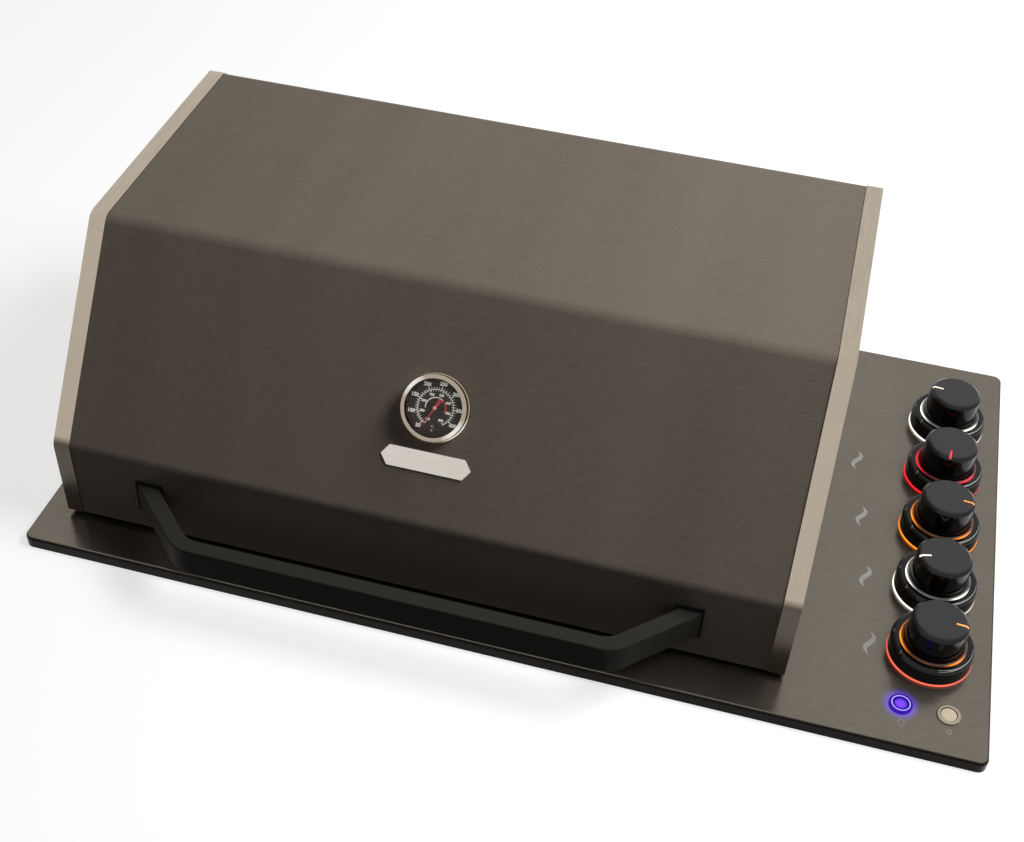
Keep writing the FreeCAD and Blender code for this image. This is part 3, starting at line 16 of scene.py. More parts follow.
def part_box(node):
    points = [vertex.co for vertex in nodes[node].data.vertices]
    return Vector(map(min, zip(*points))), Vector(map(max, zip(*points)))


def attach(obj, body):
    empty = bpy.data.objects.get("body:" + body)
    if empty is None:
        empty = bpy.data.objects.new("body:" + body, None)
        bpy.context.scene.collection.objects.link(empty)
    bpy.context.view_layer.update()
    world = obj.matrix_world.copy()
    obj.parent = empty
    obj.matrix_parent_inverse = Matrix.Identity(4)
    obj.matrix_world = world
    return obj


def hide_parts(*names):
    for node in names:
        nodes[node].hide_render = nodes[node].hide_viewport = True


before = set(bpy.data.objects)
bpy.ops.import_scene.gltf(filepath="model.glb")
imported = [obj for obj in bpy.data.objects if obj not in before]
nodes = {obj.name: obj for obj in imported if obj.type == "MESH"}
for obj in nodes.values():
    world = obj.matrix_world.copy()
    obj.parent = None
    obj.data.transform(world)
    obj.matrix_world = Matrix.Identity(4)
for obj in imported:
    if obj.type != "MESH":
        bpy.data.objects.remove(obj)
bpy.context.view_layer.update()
MM = 0.001

# %% [markdown]
# ## The camera
# The photograph looks down on the grill from the front right. The camera could be placed by eye, but its
# place was worked out from the deck's and the hood's corners, so that the same corners land on the same
# pixels. It is a point, a direction to look in and a small roll. The two shifts move the middle of the
# picture without turning the camera, as a cropped photograph needs.

# %% Camera
PICTURE_WIDE, SENSOR = 1024, 36.0
FOCAL_PIXELS = 1440.08
CAMERA_PLACE = Vector((210.36, -1118.89, 1062.93)) * MM
CAMERA_LOOK = Vector((-0.16528, 0.70627, -0.68838)).normalized()
CAMERA_ROLL = math.radians(3.05)
CAMERA_SHIFT, CAMERA_CLIP = (0.00915, 0.04523), (0.05, 50)


def new_object(name, data):
    """An object that holds the data, put into the scene."""
    made = bpy.data.objects.new(name, data)
    bpy.context.scene.collection.objects.link(made)
    return made


def camera_turn(look, roll):
    """Columns are the camera's right, up and backward. Right is look crossed with Z, up is right crossed
    with look, and both turn by roll about look."""
    right = look.cross(Vector((0, 0, 1))).normalized()
    up = right.cross(look)
    level, lift = math.cos(roll), math.sin(roll)
    return Matrix((right * level + up * lift, up * level - right * lift, -look)).transposed()


camera = new_object("camera", bpy.data.cameras.new("camera"))
camera.matrix_world = Matrix.Translation(CAMERA_PLACE) @ camera_turn(CAMERA_LOOK, CAMERA_ROLL).to_4x4()
camera.data.sensor_width = SENSOR
camera.data.lens = FOCAL_PIXELS * SENSOR / PICTURE_WIDE
camera.data.shift_x, camera.data.shift_y = CAMERA_SHIFT
camera.data.clip_start, camera.data.clip_end = CAMERA_CLIP
bpy.context.scene.camera = camera
bpy.context.scene.view_settings.view_transform = "Standard"
print("lens", round(camera.data.lens, 2), "mm")

# %% [markdown]
# ## Small helpers for finishes
# A finish is a material made of nodes. Colours are written as sRGB hex, as a paint chart gives them, and
# turned to the linear numbers that shaders take. One function adds a node, sets it and links it, so that
# each finish below reads as a short list of nodes. Patterns read Object coordinates, which are metres in
# the CAD frame, so a pattern's size can be written in millimetres.

# %% Colours and nodes
def linear(hex_colour):
    """Each sRGB channel c is c / 12.92 up to 0.04045, and above it ((c + 0.055) / 1.055) to the power 2.4."""
    c = np.array([int(hex_colour[i:i + 2], 16) for i in (1, 3, 5)]) / 255
    return (*np.where(c <= 0.04045, c / 12.92, ((c + 0.055) / 1.055) ** 2.4).tolist(), 1.0)


def add(tree, kind, inputs=None, **settings):
    """One node: its settings, then its inputs. A node or a socket as an input is linked, a node by its first
    output, and any other value is set."""
    node = tree.nodes.new("ShaderNode" + kind)
    for name, value in settings.items():
        setattr(node, name, value)
    for key, value in (inputs or {}).items():
        if isinstance(value, bpy.types.Node):
            value = value.outputs[0]
        if isinstance(value, bpy.types.NodeSocket):
            tree.links.new(value, node.inputs[key])
        else:
            node.inputs[key].default_value = value
    return node


def begin(name):
    """A new material with an empty node tree."""
    material = bpy.data.materials.new(name)
    material.use_nodes = True
    material.node_tree.nodes.clear()
    return material, material.node_tree


def surface(material, colour, roughness, more, height=None, height_mm=0.0):
    """The end that every finish has: a bump where there is a height, the shader with more inputs, the
    output."""
    tree, inputs = material.node_tree, {"Base Color": colour, "Roughness": roughness, **more}
    if height is not None:
        inputs["Normal"] = add(tree, "Bump", {"Height": height, "Distance": height_mm * MM})
    add(tree, "OutputMaterial", {"Surface": add(tree, "BsdfPrincipled", inputs)})
    return material


print("black is", linear("#000000")[:3], "and white is", linear("#ffffff")[:3])

# %% [markdown]
# ## The bench, the world and the lamps
# The real grill drops into a hole in a benchtop, and the photograph shows it against white. So the floor is
# a pale bench with a cut-out that the deck's rim covers. Without the cut-out the bench would run through the
# firebox when the hood is open. The white comes from the bench's and the world's own brightness to the
# camera, to gloss and to glass, not from more light on the grill. The bench still takes the grill's shadow.

# %% Bench with its cut-out
BENCH_HALF = (4.0, 4.0)
CUTOUT_HALF = (0.4625, 0.2735)


def bench_surface(half, hole):
    """A grid of 4 by 4 points: the outer rectangle's and the hole's lines on each axis, less the middle
    face."""
    x, y = np.meshgrid([-half[0], -hole[0], hole[0], half[0]], [-half[1], -hole[1], hole[1], half[1]])
    points = np.stack([x, y, np.zeros_like(x)], -1).reshape(-1, 3)
    corner = (np.arange(3)[:, None] * 4 + np.arange(3)).ravel()
    faces = np.stack([corner, corner + 1, corner + 5, corner + 4], -1)
    return points, np.delete(faces, 4, 0)


bench_mesh = bpy.data.meshes.new("bench")
points, faces = bench_surface(BENCH_HALF, CUTOUT_HALF)
bench_mesh.from_pydata(points.tolist(), [], faces.tolist())
bench = new_object("bench", bench_mesh)
print("bench", [2 * h for h in BENCH_HALF], "m, cut-out", [2 * h for h in CUTOUT_HALF], "m")

# %% The bench's paint
BENCH_GLOW = 0.7


def seen_directly(tree):
    """1 for a ray from the camera, from gloss or from glass, and 0 for a ray that only carries light."""
    path = add(tree, "LightPath")
    seen = add(tree, "Math", {0: path.outputs["Is Camera Ray"], 1: path.outputs["Is Glossy Ray"]},
               operation="MAXIMUM")
    return add(tree, "Math", {0: seen, 1: path.outputs["Is Transmission Ray"]}, operation="MAXIMUM")


# White paint to the eye, and a dark surface to light that bounces, so that the grill's front stays dark.
material, tree = begin("painted white bench")
paint = add(tree, "BsdfDiffuse", {"Color": linear("#b4b4b4")})
white = add(tree, "Emission", {"Color": linear("#ffffff"), "Strength": BENCH_GLOW})
bright = add(tree, "AddShader", {0: paint, 1: white})
bounce = add(tree, "BsdfDiffuse", {"Color": linear("#424242")})
both = add(tree, "MixShader", {0: seen_directly(tree), 1: bounce, 2: bright})
add(tree, "OutputMaterial", {"Surface": both})
bench_mesh.materials.append(material)
print(material.name, "with a glow of", BENCH_GLOW)

# %% World and lamps
WORLD_FILL = 0.1
world = bpy.data.worlds.new("studio")
bpy.context.scene.world = world
world.use_nodes = True
tree = world.node_tree
tree.nodes.clear()
fill = add(tree, "Background", {"Color": linear("#ffffff"), "Strength": WORLD_FILL})
white = add(tree, "Background", {"Color": linear("#ffffff"), "Strength": 1.0})
both = add(tree, "MixShader", {0: seen_directly(tree), 1: fill, 2: white})
add(tree, "OutputWorld", {"Surface": both})


def soft_lamp(name, place, aim, wide, deep, power):
    """An area lamp at place, wide along X and deep along its other side, turned to face aim. It lights, but
    gloss doesn't mirror it."""
    lamp = new_object(name, bpy.data.lights.new(name, "AREA"))
    lamp.data.shape = "RECTANGLE"
    lamp.data.size, lamp.data.size_y, lamp.data.energy = wide, deep, power
    lamp.location = place
    lamp.rotation_euler = (Vector(aim) - Vector(place)).to_track_quat("-Z", "Y").to_euler()
    lamp.visible_glossy = False


soft_lamp("key", place=(1.2, 0.25, 1.95), aim=(0.15, 0, 0.1), wide=1.4, deep=0.8, power=49)
soft_lamp("back", place=(0.2, 2.3, 0.8), aim=(0, 0, 0.1), wide=1.6, deep=0.8, power=7)
print("world fill", WORLD_FILL, "and two lamps")

# %% [markdown]
# ## Sheet steel
# Most of the grill is stainless sheet. Brushing leaves fine scratches along one direction, so its finish is
# noise whose cells are long one way and narrow the other. It could be a picture of real scratches, but noise
# needs no file and never repeats. The same noise moves the colour, the roughness and the height a little.
# The dark hood is that steel under a satin coating, and the deck is under a glossy black one that mirrors
# what stands on it. In the photograph every face that looks to the front is dark, because it mirrors the dark
# room there, so the strips, the hood and the deck's folded edge get painted shade by their place: a painted
# dark reflection in their colour.

# %% Patterns that a finish follows
# Nearly all of a noise's values lie between these two.
SPREAD = {"From Min": 0.3, "From Max": 0.7}


def grain(tree, size_mm, detail=3.0, roughness=0.6):
    """Noise whose cells have that size in mm along X, Y and Z: the point is divided by the size. Its value is
    from 0 to 1, mostly near a half."""
    scaled = add(tree, "Mapping", {"Vector": add(tree, "TexCoord").outputs["Object"],
                                   "Scale": [1 / (mm * MM) for mm in size_mm]})
    return add(tree, "TexNoise", {"Vector": scaled, "Scale": 1.0, "Detail": detail, "Roughness": roughness})


def tinted(tree, pattern, spread, dark, light):
    """A colour that follows a pattern: dark at the spread's low end, light at its high end, and an even blend
    between."""
    share = add(tree, "MapRange", {"Value": pattern, **spread})
    colour = add(tree, "Mix", {"Factor": share, "A": linear(dark), "B": linear(light)}, data_type="RGBA")
    return colour.outputs["Result"]


def follow(tree, pattern, spread, dark, light, rough):
    """The colour of tinted, and a roughness that follows the pattern with it, from the first of rough to the
    second."""
    return (tinted(tree, pattern, spread, dark, light),
            add(tree, "MapRange", {"Value": pattern, **spread, "To Min": rough[0], "To Max": rough[1]}))


def climb(tree, axis, start, end, low=0.0):
    """A number that goes evenly from low to 1 while the point's X, Y or Z goes from start to end in mm."""
    parts = add(tree, "SeparateXYZ", {0: add(tree, "TexCoord").outputs["Object"]})
    return add(tree, "MapRange", {"Value": parts.outputs[axis], "From Min": start * MM,
                                  "From Max": end * MM, "To Min": low})


def shaded(tree, colour, shade):
    """Painted shade: the colour times a climb of (axis, start, end, low), or the colour alone where shade is
    None.
    """
    if not shade:
        return colour
    return add(tree, "VectorMath", {0: colour, "Scale": climb(tree, *shade)}, operation="SCALE")


dressed = set()


def dress(finish, *names):
    """Each named CAD node takes the finish in its own material slot. Its mesh stays as it is."""
    for name in names:
        nodes[name].data.materials.clear()
        nodes[name].data.materials.append(finish)
        dressed.add(name)
    print(finish.name, "on", ", ".join(names))


def five(name):
    """The five names of a part that each knob has."""
    return ["%s_%d" % (name, n) for n in range(1, 6)]


print("five of a kind:", *five("knob"))

# %% Brushed sheet
# Real brush lines are near 0.1 mm wide, too fine for a picture of this size, so they are drawn this wide.
BRUSH_LINE = 0.9
CLOUD_SIZE, CLOUD_SHARE = 140, 0.35
CLOUDY_SPREAD = {"From Min": 0.5, "From Max": 0.85}


def brushed_steel(name, dark, light, rough, line_mm, bump_mm=0.01, metal=1.0, specular=0.5, shade=None):
    """Brushed metal sheet. Colour and roughness follow the lines plus a share of broad clouds, which real
    sheet shows as faint patches. line_mm is the size of one line on X, Y and Z."""
    material, tree = begin(name)
    lines, clouds = grain(tree, line_mm), grain(tree, (CLOUD_SIZE,) * 3, 2.0)
    tone = add(tree, "Math", {0: clouds, 1: CLOUD_SHARE, 2: lines}, operation="MULTIPLY_ADD")
    colour, roughness = follow(tree, tone, CLOUDY_SPREAD, dark, light, rough)
    return surface(material, shaded(tree, colour, shade), roughness,
                   {"Metallic": metal, "Specular IOR Level": specular}, lines, bump_mm)


# Brushed stainless steel: the lines run up the strip, so each highlight spreads across it as a soft band.
# Its upright front fold gets painted shade: a painted dark reflection of the room in front, set by shade.
dress(brushed_steel("brushed stainless steel", "#a99d8e", "#b8ac9b", (0.2, 0.32),
                    (BRUSH_LINE, 40, BRUSH_LINE), shade=("Y", -236.2, -232.0, 0.2)),
      "hood_end_left", "hood_end_right")

# Black coated stainless, brushed: a thin clear black film over steel, so it still mirrors like metal, but
# dark, and the lines along X blur the mirrored knobs a little. It is less than full metal because the film
# has a gloss of its own. Its folded edge is painted nearly black: painted shade, a painted dark reflection of
# the room in front.
deck_steel = brushed_steel("brushed black coated stainless", "#6c655c", "#797268", (0.18, 0.26),
                           (16, BRUSH_LINE, BRUSH_LINE), 0.003, metal=0.82, specular=0.08,
                           shade=("Z", 11.9, 12.48, 0.055))
dress(deck_steel, "deck_panel")

# Mill finish stainless, as it leaves the rolls: paler and softer than brushed, with long faint roll lines.
dress(brushed_steel("mill finish stainless", "#a09c95", "#bab7b0", (0.28, 0.42), (22, 1.2, 1.2)),
      "hood_liner", "drip_tray", "grease_cup")

# Galvanised pressed sheet: the zinc freezes into spangles about 9 mm across, each a slightly other grey.
dress(brushed_steel("galvanised pressed sheet", "#a8acb0", "#c8ccce", (0.35, 0.5), (9, 9, 9), 0.02),
      "control_box", "tray_runners", "hinge_brackets", "deck_fasteners", "gas_manifold", "gas_inlet")

# %% The hood's coating
# Real spray fleck is near 0.2 mm and is drawn five times coarser.
FLECK, LINE_SHARE, COAT_HIGH = 1.1, 0.5, 0.012
BAND_SIZE, BAND_SHARE = (70, 900, 900), 0.3
BANDED_SPREAD = {"From Min": 0.65, "From Max": 1.0}


def satin_coating(dark, light, rough, shade):
    """Sprayed satin coating on brushed steel. Colour and roughness follow a share of the brush lines, plus
    the fleck, plus a share of broad bands that run from front to back."""
    material, tree = begin("sprayed satin coating on brushed steel")
    lines, fleck = grain(tree, (14, BRUSH_LINE, BRUSH_LINE), 2.0), grain(tree, (FLECK,) * 3, 2.0, 0.7)
    tone = add(tree, "Math", {0: lines, 1: LINE_SHARE, 2: fleck}, operation="MULTIPLY_ADD")
    tone = add(tree, "Math", {0: grain(tree, BAND_SIZE, 1.0), 1: BAND_SHARE, 2: tone},
               operation="MULTIPLY_ADD")
    colour, roughness = follow(tree, tone, BANDED_SPREAD, dark, light, rough)
    return surface(material, shaded(tree, colour, shade), roughness, {"Specular IOR Level": 0.05}, tone,
                   COAT_HIGH)


# A satin coating scatters light, so the hood has no mirror image on it: warm grey-brown, with the brush lines
# just showing through. Its upright front is painted much darker: painted shade by its place.
dress(satin_coating("#635b51", "#776e63", (0.39, 0.46), ("Y", -237.6, -236.8, 0.12)), "hood_skin")

# %% [markdown]
# ## Heat-coloured steel
# Steel round the burners turns straw-brown where it has been hot. It could be painted on by hand, but heat
# leaves soft patches with no clear edge, which broad noise gives at once. It picks between plain steel and
# straw colour, and the fine lines stay on top. All of it is under the hood and shows when the hood is open.

# %% Heat-coloured steel
OXIDE_SPREAD, SCALE_HIGH = {"From Min": 0.42, "From Max": 0.68}, 0.015


def heated_steel(name, plain, straw, rough, line_mm, patch_mm):
    """Stainless with patches of straw-brown oxide about patch_mm wide. The colour follows the patches, the
    roughness and the height follow the lines."""
    material, tree = begin(name)
    lines, patches = grain(tree, line_mm), grain(tree, (patch_mm,) * 3, 4.0)
    roughness = add(tree, "MapRange", {"Value": lines, **SPREAD, "To Min": rough[0], "To Max": rough[1]})
    return surface(material, tinted(tree, patches, OXIDE_SPREAD, plain, straw), roughness,
                   {"Metallic": 1.0}, lines, SCALE_HIGH)


# Bent stainless of the firebox: still bright, with straw tints a hand wide where the fire is near.
dress(heated_steel("heat tinted bent stainless", "#b4b2ad", "#978a76", (0.3, 0.45), (22, 1.4, 22), 160),
      "firebox", "back_panel")

# Stainless tube and stamped tamers stand in the flame: browner, in smaller patches, and rougher.
dress(heated_steel("heat browned stainless tube", "#a29c90", "#6f5f4c", (0.3, 0.5), (24, 1.6, 1.6), 70),
      "main_burners", "flame_tamers", "rear_burner_pipe")

# %% [markdown]
# ## Black parts and other skins
# The handle is powder coated, the knobs and the bezels are moulded plastic, the grates are enamelled. Each of
# these is one colour with a fine unevenness: orange peel, mould texture or the grain of a casting. So one
# function makes them all from a noise of the right size, and only numbers differ. A knob's flat top is
# moulded matt, so the knob has its own finish that changes with height.

# %% Even skins
# Textures finer than half a millimetre don't show in the picture, so none is drawn finer than that.
def skin(name, dark, light, rough, size_mm, bump_mm, specular=0.5, shade=None):
    """A moulded, sprayed or glazed skin of one colour. All of it follows an unevenness of size_mm."""
    material, tree = begin(name)
    unevenness = grain(tree, (size_mm,) * 3)
    colour, roughness = follow(tree, unevenness, SPREAD, dark, light, rough)
    return surface(material, shaded(tree, colour, shade), roughness, {"Specular IOR Level": specular},
                   unevenness, bump_mm)


# Satin powder coat, baked: the powder melts into a soft orange peel near 1 mm across, with a dull sheen.
# Its front face is painted darker: painted shade by its place.
dress(skin("satin black powder coat", "#2f2e2a", "#393732", (0.4, 0.5), 0.9, 0.02, 0.02,
           ("Y", -306.8, -305.5, 0.4)), "hood_handle")

# Polished ABS, moulded: deep black with a sharp highlight, which wavers as the moulded wall does every 3 mm.
dress(skin("polished black moulded ABS", "#060608", "#0b0b0e", (0.06, 0.1), 3, 0.001, 0.25), *five("bezel"))

# Moulded rubber: no highlight at all. Its mould texture is near 0.1 mm and is drawn coarser.
dress(skin("moulded black rubber", "#0b0b0b", "#161616", (0.7, 0.85), 0.6, 0.02, 0.05), "handle_spacers")

# Moulded nylon of the two electric boxes: dull, a little paler on its spark-eroded texture.
dress(skin("moulded black nylon", "#141414", "#202020", (0.5, 0.62), 0.6, 0.02),
      "igniter_module", "led_driver")

# Matt enamel on sand-cast iron: near black, and the sand's grain stays in the skin as coarse pits.
dress(skin("matt enamel on cast iron", "#121212", "#1f1e1d", (0.5, 0.7), 1.4, 0.12, 0.4),
      "cooking_grates", "hotplate")

# Glazed white ceramic of the electrodes: a wet-looking highlight on warm white.
dress(skin("glazed white ceramic", "#e2ded4", "#efece4", (0.12, 0.2), 2, 0.004), "electrodes")

# Screen-printed solder mask on the lamp boards: a smooth green lacquer, satin where it is thin.
dress(skin("green solder mask", "#1c4a26", "#265c31", (0.3, 0.4), 2, 0.01), "led_boards")

# %% Knobs
FACE_EDGE = (1.5, 0.5)
# The real texture is near 0.05 mm and is drawn ten times coarser.
SPARK_TEXTURE, SPARK_HIGH = 0.5, 0.004


def knob_plastic(top):
    """Gloss black ABS up to the first depth of FACE_EDGE below the top, and matt charcoal from the second, so
    the bevel is glossy and the flat face matt. top is in mm."""
    material, tree = begin("black moulded ABS with spark-eroded face")
    face = climb(tree, "Z", top - FACE_EDGE[0], top - FACE_EDGE[1])
    spark = grain(tree, (SPARK_TEXTURE,) * 3, 2.0)
    charcoal = tinted(tree, spark, SPREAD, "#2f2e2e", "#3a3939")
    colour = add(tree, "Mix", {"Factor": face, "A": linear("#0a0a10"), "B": charcoal}, data_type="RGBA")
    roughness = add(tree, "MapRange", {"Value": face, "To Min": 0.12, "To Max": 0.6})
    return surface(material, colour.outputs["Result"], roughness, {"Specular IOR Level": 0.25}, spark,
                   SPARK_HIGH)


# Spark erosion in the mould makes the knob's face a soft grey that mirrors nothing. Its side stays glossy,
# and its black is tinted blue: a painted reflection of a bluish room.
dress(knob_plastic(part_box("knob_1")[1].z / MM), *five("knob"))

# %% [markdown]
# ## Wire, screws, brass and the back burner's tile
# These are small parts under the hood or the deck. Chrome wire, screws and brass are brushed metal with other
# numbers. The back burner's face is ceramic with rows of tiny holes, which are drawn as a pattern, because
# thousands of real holes would add nothing.

# %% Small metal parts
# Chromed wire, drawn: almost a mirror, with long soft waves from the drawing die.
dress(brushed_steel("chromed drawn wire", "#c2c2c2", "#d4d4d4", (0.06, 0.12), (5, 5, 5), 0.002),
      "warming_rack")

# Rolled screw steel: plain grey, a little uneven where the thread was rolled.
dress(brushed_steel("rolled screw steel", "#a8a8a8", "#c0c0c0", (0.25, 0.4), (2, 2, 2)),
      "hood_fasteners", "hinge_pins", *five("knob_stem"))

# Machined brass: the cutter leaves rings about 0.2 mm apart, drawn 1 mm apart, that break up its warm shine.
dress(brushed_steel("machined brass", "#b08d4c", "#c9a866", (0.2, 0.34), (1, 8, 1)),
      "gas_valves", *five("valve_plug"))

# %% The back burner's tile
# Real holes are 1.2 mm across on a 2 mm pitch, drawn a little coarser.
HOLE_PITCH, HOLE_RADIUS, HOLE_DEEP, SOFT_EDGE = 3.2, 0.9, 0.5, 0.8


def pierced_tile():
    """Pale ceramic with a round hole at every pitch on X and Z. A point is in a hole if its distance to the
    middle of its grid square is under the hole's radius."""
    material, tree = begin("pressed burner ceramic")
    step = HOLE_PITCH * MM
    flat = add(tree, "VectorMath", {0: add(tree, "TexCoord").outputs["Object"], 1: (1, 0, 1)},
               operation="MULTIPLY")
    corner = add(tree, "VectorMath", {0: flat, 1: (step,) * 3}, operation="SNAP")
    inside = add(tree, "VectorMath", {0: flat, 1: corner}, operation="SUBTRACT")
    reach = add(tree, "VectorMath", {0: inside, 1: (step / 2, 0, step / 2)}, operation="DISTANCE")
    solid = add(tree, "MapRange", {"Value": reach.outputs["Value"], "From Min": HOLE_RADIUS * MM * SOFT_EDGE,
                                   "From Max": HOLE_RADIUS * MM})
    clay, roughness = follow(tree, grain(tree, (6, 6, 6)), SPREAD, "#cdb896", "#dccbad", (0.8, 0.9))
    colour = add(tree, "Mix", {"Factor": solid, "A": linear("#2a211a"), "B": clay}, data_type="RGBA")
    return surface(material, colour.outputs["Result"], roughness, {}, solid, HOLE_DEEP)


# Pressed ceramic: chalky and pale, and the holes make it a dotted screen.
dress(pierced_tile(), "rear_burner")

# %% [markdown]
# ## The thermometer and the badge
# The bezel is polished chrome with two painted highlights, the dial is matt black paint, the lens is clear
# glass and the needle is red. The highlights could come from a lamp, but then that lamp would also brighten
# the hood, so they are painted by direction from the dial's middle. The badge plate is plain satin aluminium.

# %% Where the dial is
def middle_of(node):
    """The middle of a CAD node's box, as an array."""
    low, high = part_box(node)
    return np.array((low + high) / 2)


UP_SLOPE = np.array([0, 0.6113, 0.7914])
OUT_OF_SLOPE = np.array([0, -0.7914, 0.6113])
RIGHT = np.array([1.0, 0, 0])
DIAL_HALF_THICK = 0.55 * MM
DIAL = middle_of("gauge_dial") + DIAL_HALF_THICK * OUT_OF_SLOPE
print("middle of the dial's face in mm:", np.round(DIAL / MM, 2))

# %% Thermometer and badge finishes
PAINTED_HIGHLIGHT_TURN, PAINTED_HIGHLIGHT_SPREAD = math.radians(308), {"From Min": 0.84, "From Max": 0.98}


def streaked_chrome(turn):
    """Polished chrome with two opposite painted highlights. A point's share towards a highlight is the size
    of the dot product of its direction from the dial's middle with the highlight's."""
    material, tree = begin("polished chrome plate with painted highlights")
    toward = math.sin(turn) * RIGHT + math.cos(turn) * UP_SLOPE
    off = add(tree, "VectorMath", {0: add(tree, "TexCoord").outputs["Object"], 1: DIAL}, operation="SUBTRACT")
    way = add(tree, "VectorMath", {0: off}, operation="NORMALIZE")
    along = add(tree, "VectorMath", {0: way, 1: toward}, operation="DOT_PRODUCT")
    share = add(tree, "Math", {0: along.outputs["Value"]}, operation="ABSOLUTE")
    colour = tinted(tree, share, PAINTED_HIGHLIGHT_SPREAD, "#a89b8b", "#fdf8ee")
    roughness = add(tree, "MapRange", {"Value": grain(tree, (6, 6, 6)), **SPREAD, "To Min": 0.08,
                                       "To Max": 0.16})
    return surface(material, colour, roughness, {"Metallic": 1.0})


# Chrome plate, polished: a warm mirror, with a painted highlight at two opposite places, as on any turned
# ring that faces a window.
dress(streaked_chrome(PAINTED_HIGHLIGHT_TURN), "gauge_case")

# Matt black dial paint, sprayed: nothing mirrors in it, so the figures stay readable.
dress(skin("sprayed matt black dial paint", "#38322f", "#423b38", (0.55, 0.7), 0.8, 0.004, 0.05),
      "gauge_dial")

# Satin aluminium, brushed along X: soft and pale, with fine lines across its width.
dress(brushed_steel("brushed satin aluminium", "#c8c2b8", "#d8d3ca", (0.3, 0.42), (9, 0.7, 0.7), 0.006),
      "badge_plate")

# Pressed lens glass: clear and almost flat. Glass has an IOR near 1.5, lowered here because at 1.5 the whole
# white studio mirrors in it as a milky veil, which the photograph hasn't. Its faint waves are 30 mm wide.
lens_glass, tree = begin("pressed clear glass")
haze = add(tree, "MapRange", {"Value": grain(tree, (30, 30, 30), 1.0), **SPREAD, "To Max": 0.02})
dress(surface(lens_glass, linear("#f4f6f5"), haze, {"Transmission Weight": 1.0, "IOR": 1.1}), "gauge_lens")

# %% [markdown]
# ## The lit rings
# Each knob stands in a clear plastic guide: a flange that shows as a thin bright line under the bezel, and a
# tube that shows as a ring round the knob's foot. Small lamps inside make it brighter in some places than in
# others. The CAD model has all five guides as one part, so five turned pieces replace it, one for each
# colour. The brightness is a number on each point, worked out from its angle round the knob, and the material
# reads it. Each piece is placed in its mesh, its object stays at the origin, and it rides on the body it is
# fixed to, so that it moves with that body in every pose.

# %% Turned pieces
def quads(rows, columns, rows_close=False, columns_close=False):
    """Faces of a grid whose points are numbered row by row. A closing side joins its last line to its
    first."""
    r = np.arange(rows if rows_close else rows - 1)[:, None]
    c = np.arange(columns if columns_close else columns - 1)[None, :]
    r2, c2 = (r + 1) % rows, (c + 1) % columns
    return np.stack(np.broadcast_arrays(r * columns + c, r2 * columns + c, r2 * columns + c2,
                                        r * columns + c2), -1).reshape(-1, 4)


def turned(profile, steps):
    """A closed profile of (radius, height) carried round Z: x = radius cos a, y = radius sin a, z = height.
    The profile runs anticlockwise, so its faces point out."""
    a = np.linspace(0, 2 * np.pi, steps, endpoint=False)[:, None]
    r, z = np.array(profile, float).T
    points = np.stack(np.broadcast_arrays(r * np.cos(a), r * np.sin(a), z + 0 * a), -1)
    return points.reshape(-1, 3), quads(steps, len(profile), True, True)


def put(name, points, faces, material, body):
    """The arrays become a mesh object that rides on the body. Points are in metres in the CAD frame."""
    mesh = bpy.data.meshes.new(name)
    mesh.from_pydata(np.asarray(points).tolist(), [], [list(f) for f in faces])
    mesh.validate()
    mesh.polygons.foreach_set("use_smooth", [False] * len(mesh.polygons))
    mesh.materials.append(material)
    piece = new_object(name, mesh)
    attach(piece, body)
    print(name, len(mesh.vertices), "points on", body)
    return piece


def foot_of(node):
    """Where the upright axis through the middle of a CAD node meets the benchtop."""
    return middle_of(node) * [1, 1, 0]


KNOBS = {n: foot_of(name) for n, name in enumerate(five("bezel"), 1)}
print("knob axes in mm:", {n: np.round(place[:2] / MM, 1).tolist() for n, place in KNOBS.items()})

# %% Lit plastic
DIMMEST = 0.02


def lit_plastic(name, glow, strength):
    """Plastic lit from inside. The point attribute named glow, from 0 to 1, takes its light from the dimmest
    to strength."""
    material, tree = begin(name)
    share = add(tree, "Attribute", attribute_name="glow").outputs["Fac"]
    power = add(tree, "MapRange", {"Value": share, "To Min": DIMMEST, "To Max": strength})
    body = tinted(tree, grain(tree, (2, 2, 2), 2.0), SPREAD, "#3c3c3e", "#4a4a4c")
    return surface(material, body, 0.25, {
        "Specular IOR Level": 0.2, "Emission Color": linear(glow), "Emission Strength": power})


def keep_glow(piece, glow):
    """The glow of each point, kept as the attribute that the material reads."""
    kept = piece.data.attributes.new("glow", "FLOAT", "POINT")
    kept.data.foreach_set("value", np.asarray(glow, np.float32))


print("light from", DIMMEST, "up")

# %% The guides' shape and where they shine
GUIDE = [(28.6, 12.5), (39.9, 12.5), (40.1, 12.7), (40.1, 14.5), (39.9, 14.7), (31.4, 14.7), (31.4, 32.4),
         (31.0, 32.9), (30.1, 32.9), (29.0, 32.9), (28.6, 32.4)]
GUIDE_STEPS = 180
INSIDE_TUBE, INSIDE_SHARE = 30.5, 0.06
FLANGE_FROM, FLANGE_FOOT, FOOT_SHARE = 33, 13.5, 0.2


def hill(angle, centre, half):
    """A smooth hill of height 1 at centre that falls to 0 at half degrees away: (1 + cos) / 2 of the share of
    the way."""
    away = np.abs((angle - centre + 180) % 360 - 180)
    return np.where(away < half, (1 + np.cos(np.pi * away / half)) / 2, 0)


def ring_glow(points, tube_hills, flange_hills):
    """Glow by angle round the middle, from lists of (centre, half, height) for the tube and the flange. The
    tube is dim on its inside and the flange at its foot, so each shows as a thin line."""
    angle, radius = np.degrees(np.arctan2(points[:, 1], points[:, 0])), np.hypot(points[:, 0], points[:, 1])
    tube, flange = (sum(h * hill(angle, c, w) for c, w, h in hills) for hills in (tube_hills, flange_hills))
    tube = tube * np.where(radius < INSIDE_TUBE, INSIDE_SHARE, 1)
    flange = flange * np.where(points[:, 2] < FLANGE_FOOT, FOOT_SHARE, 1)
    return np.clip(np.where(radius > FLANGE_FROM, flange, tube), 0, 1)


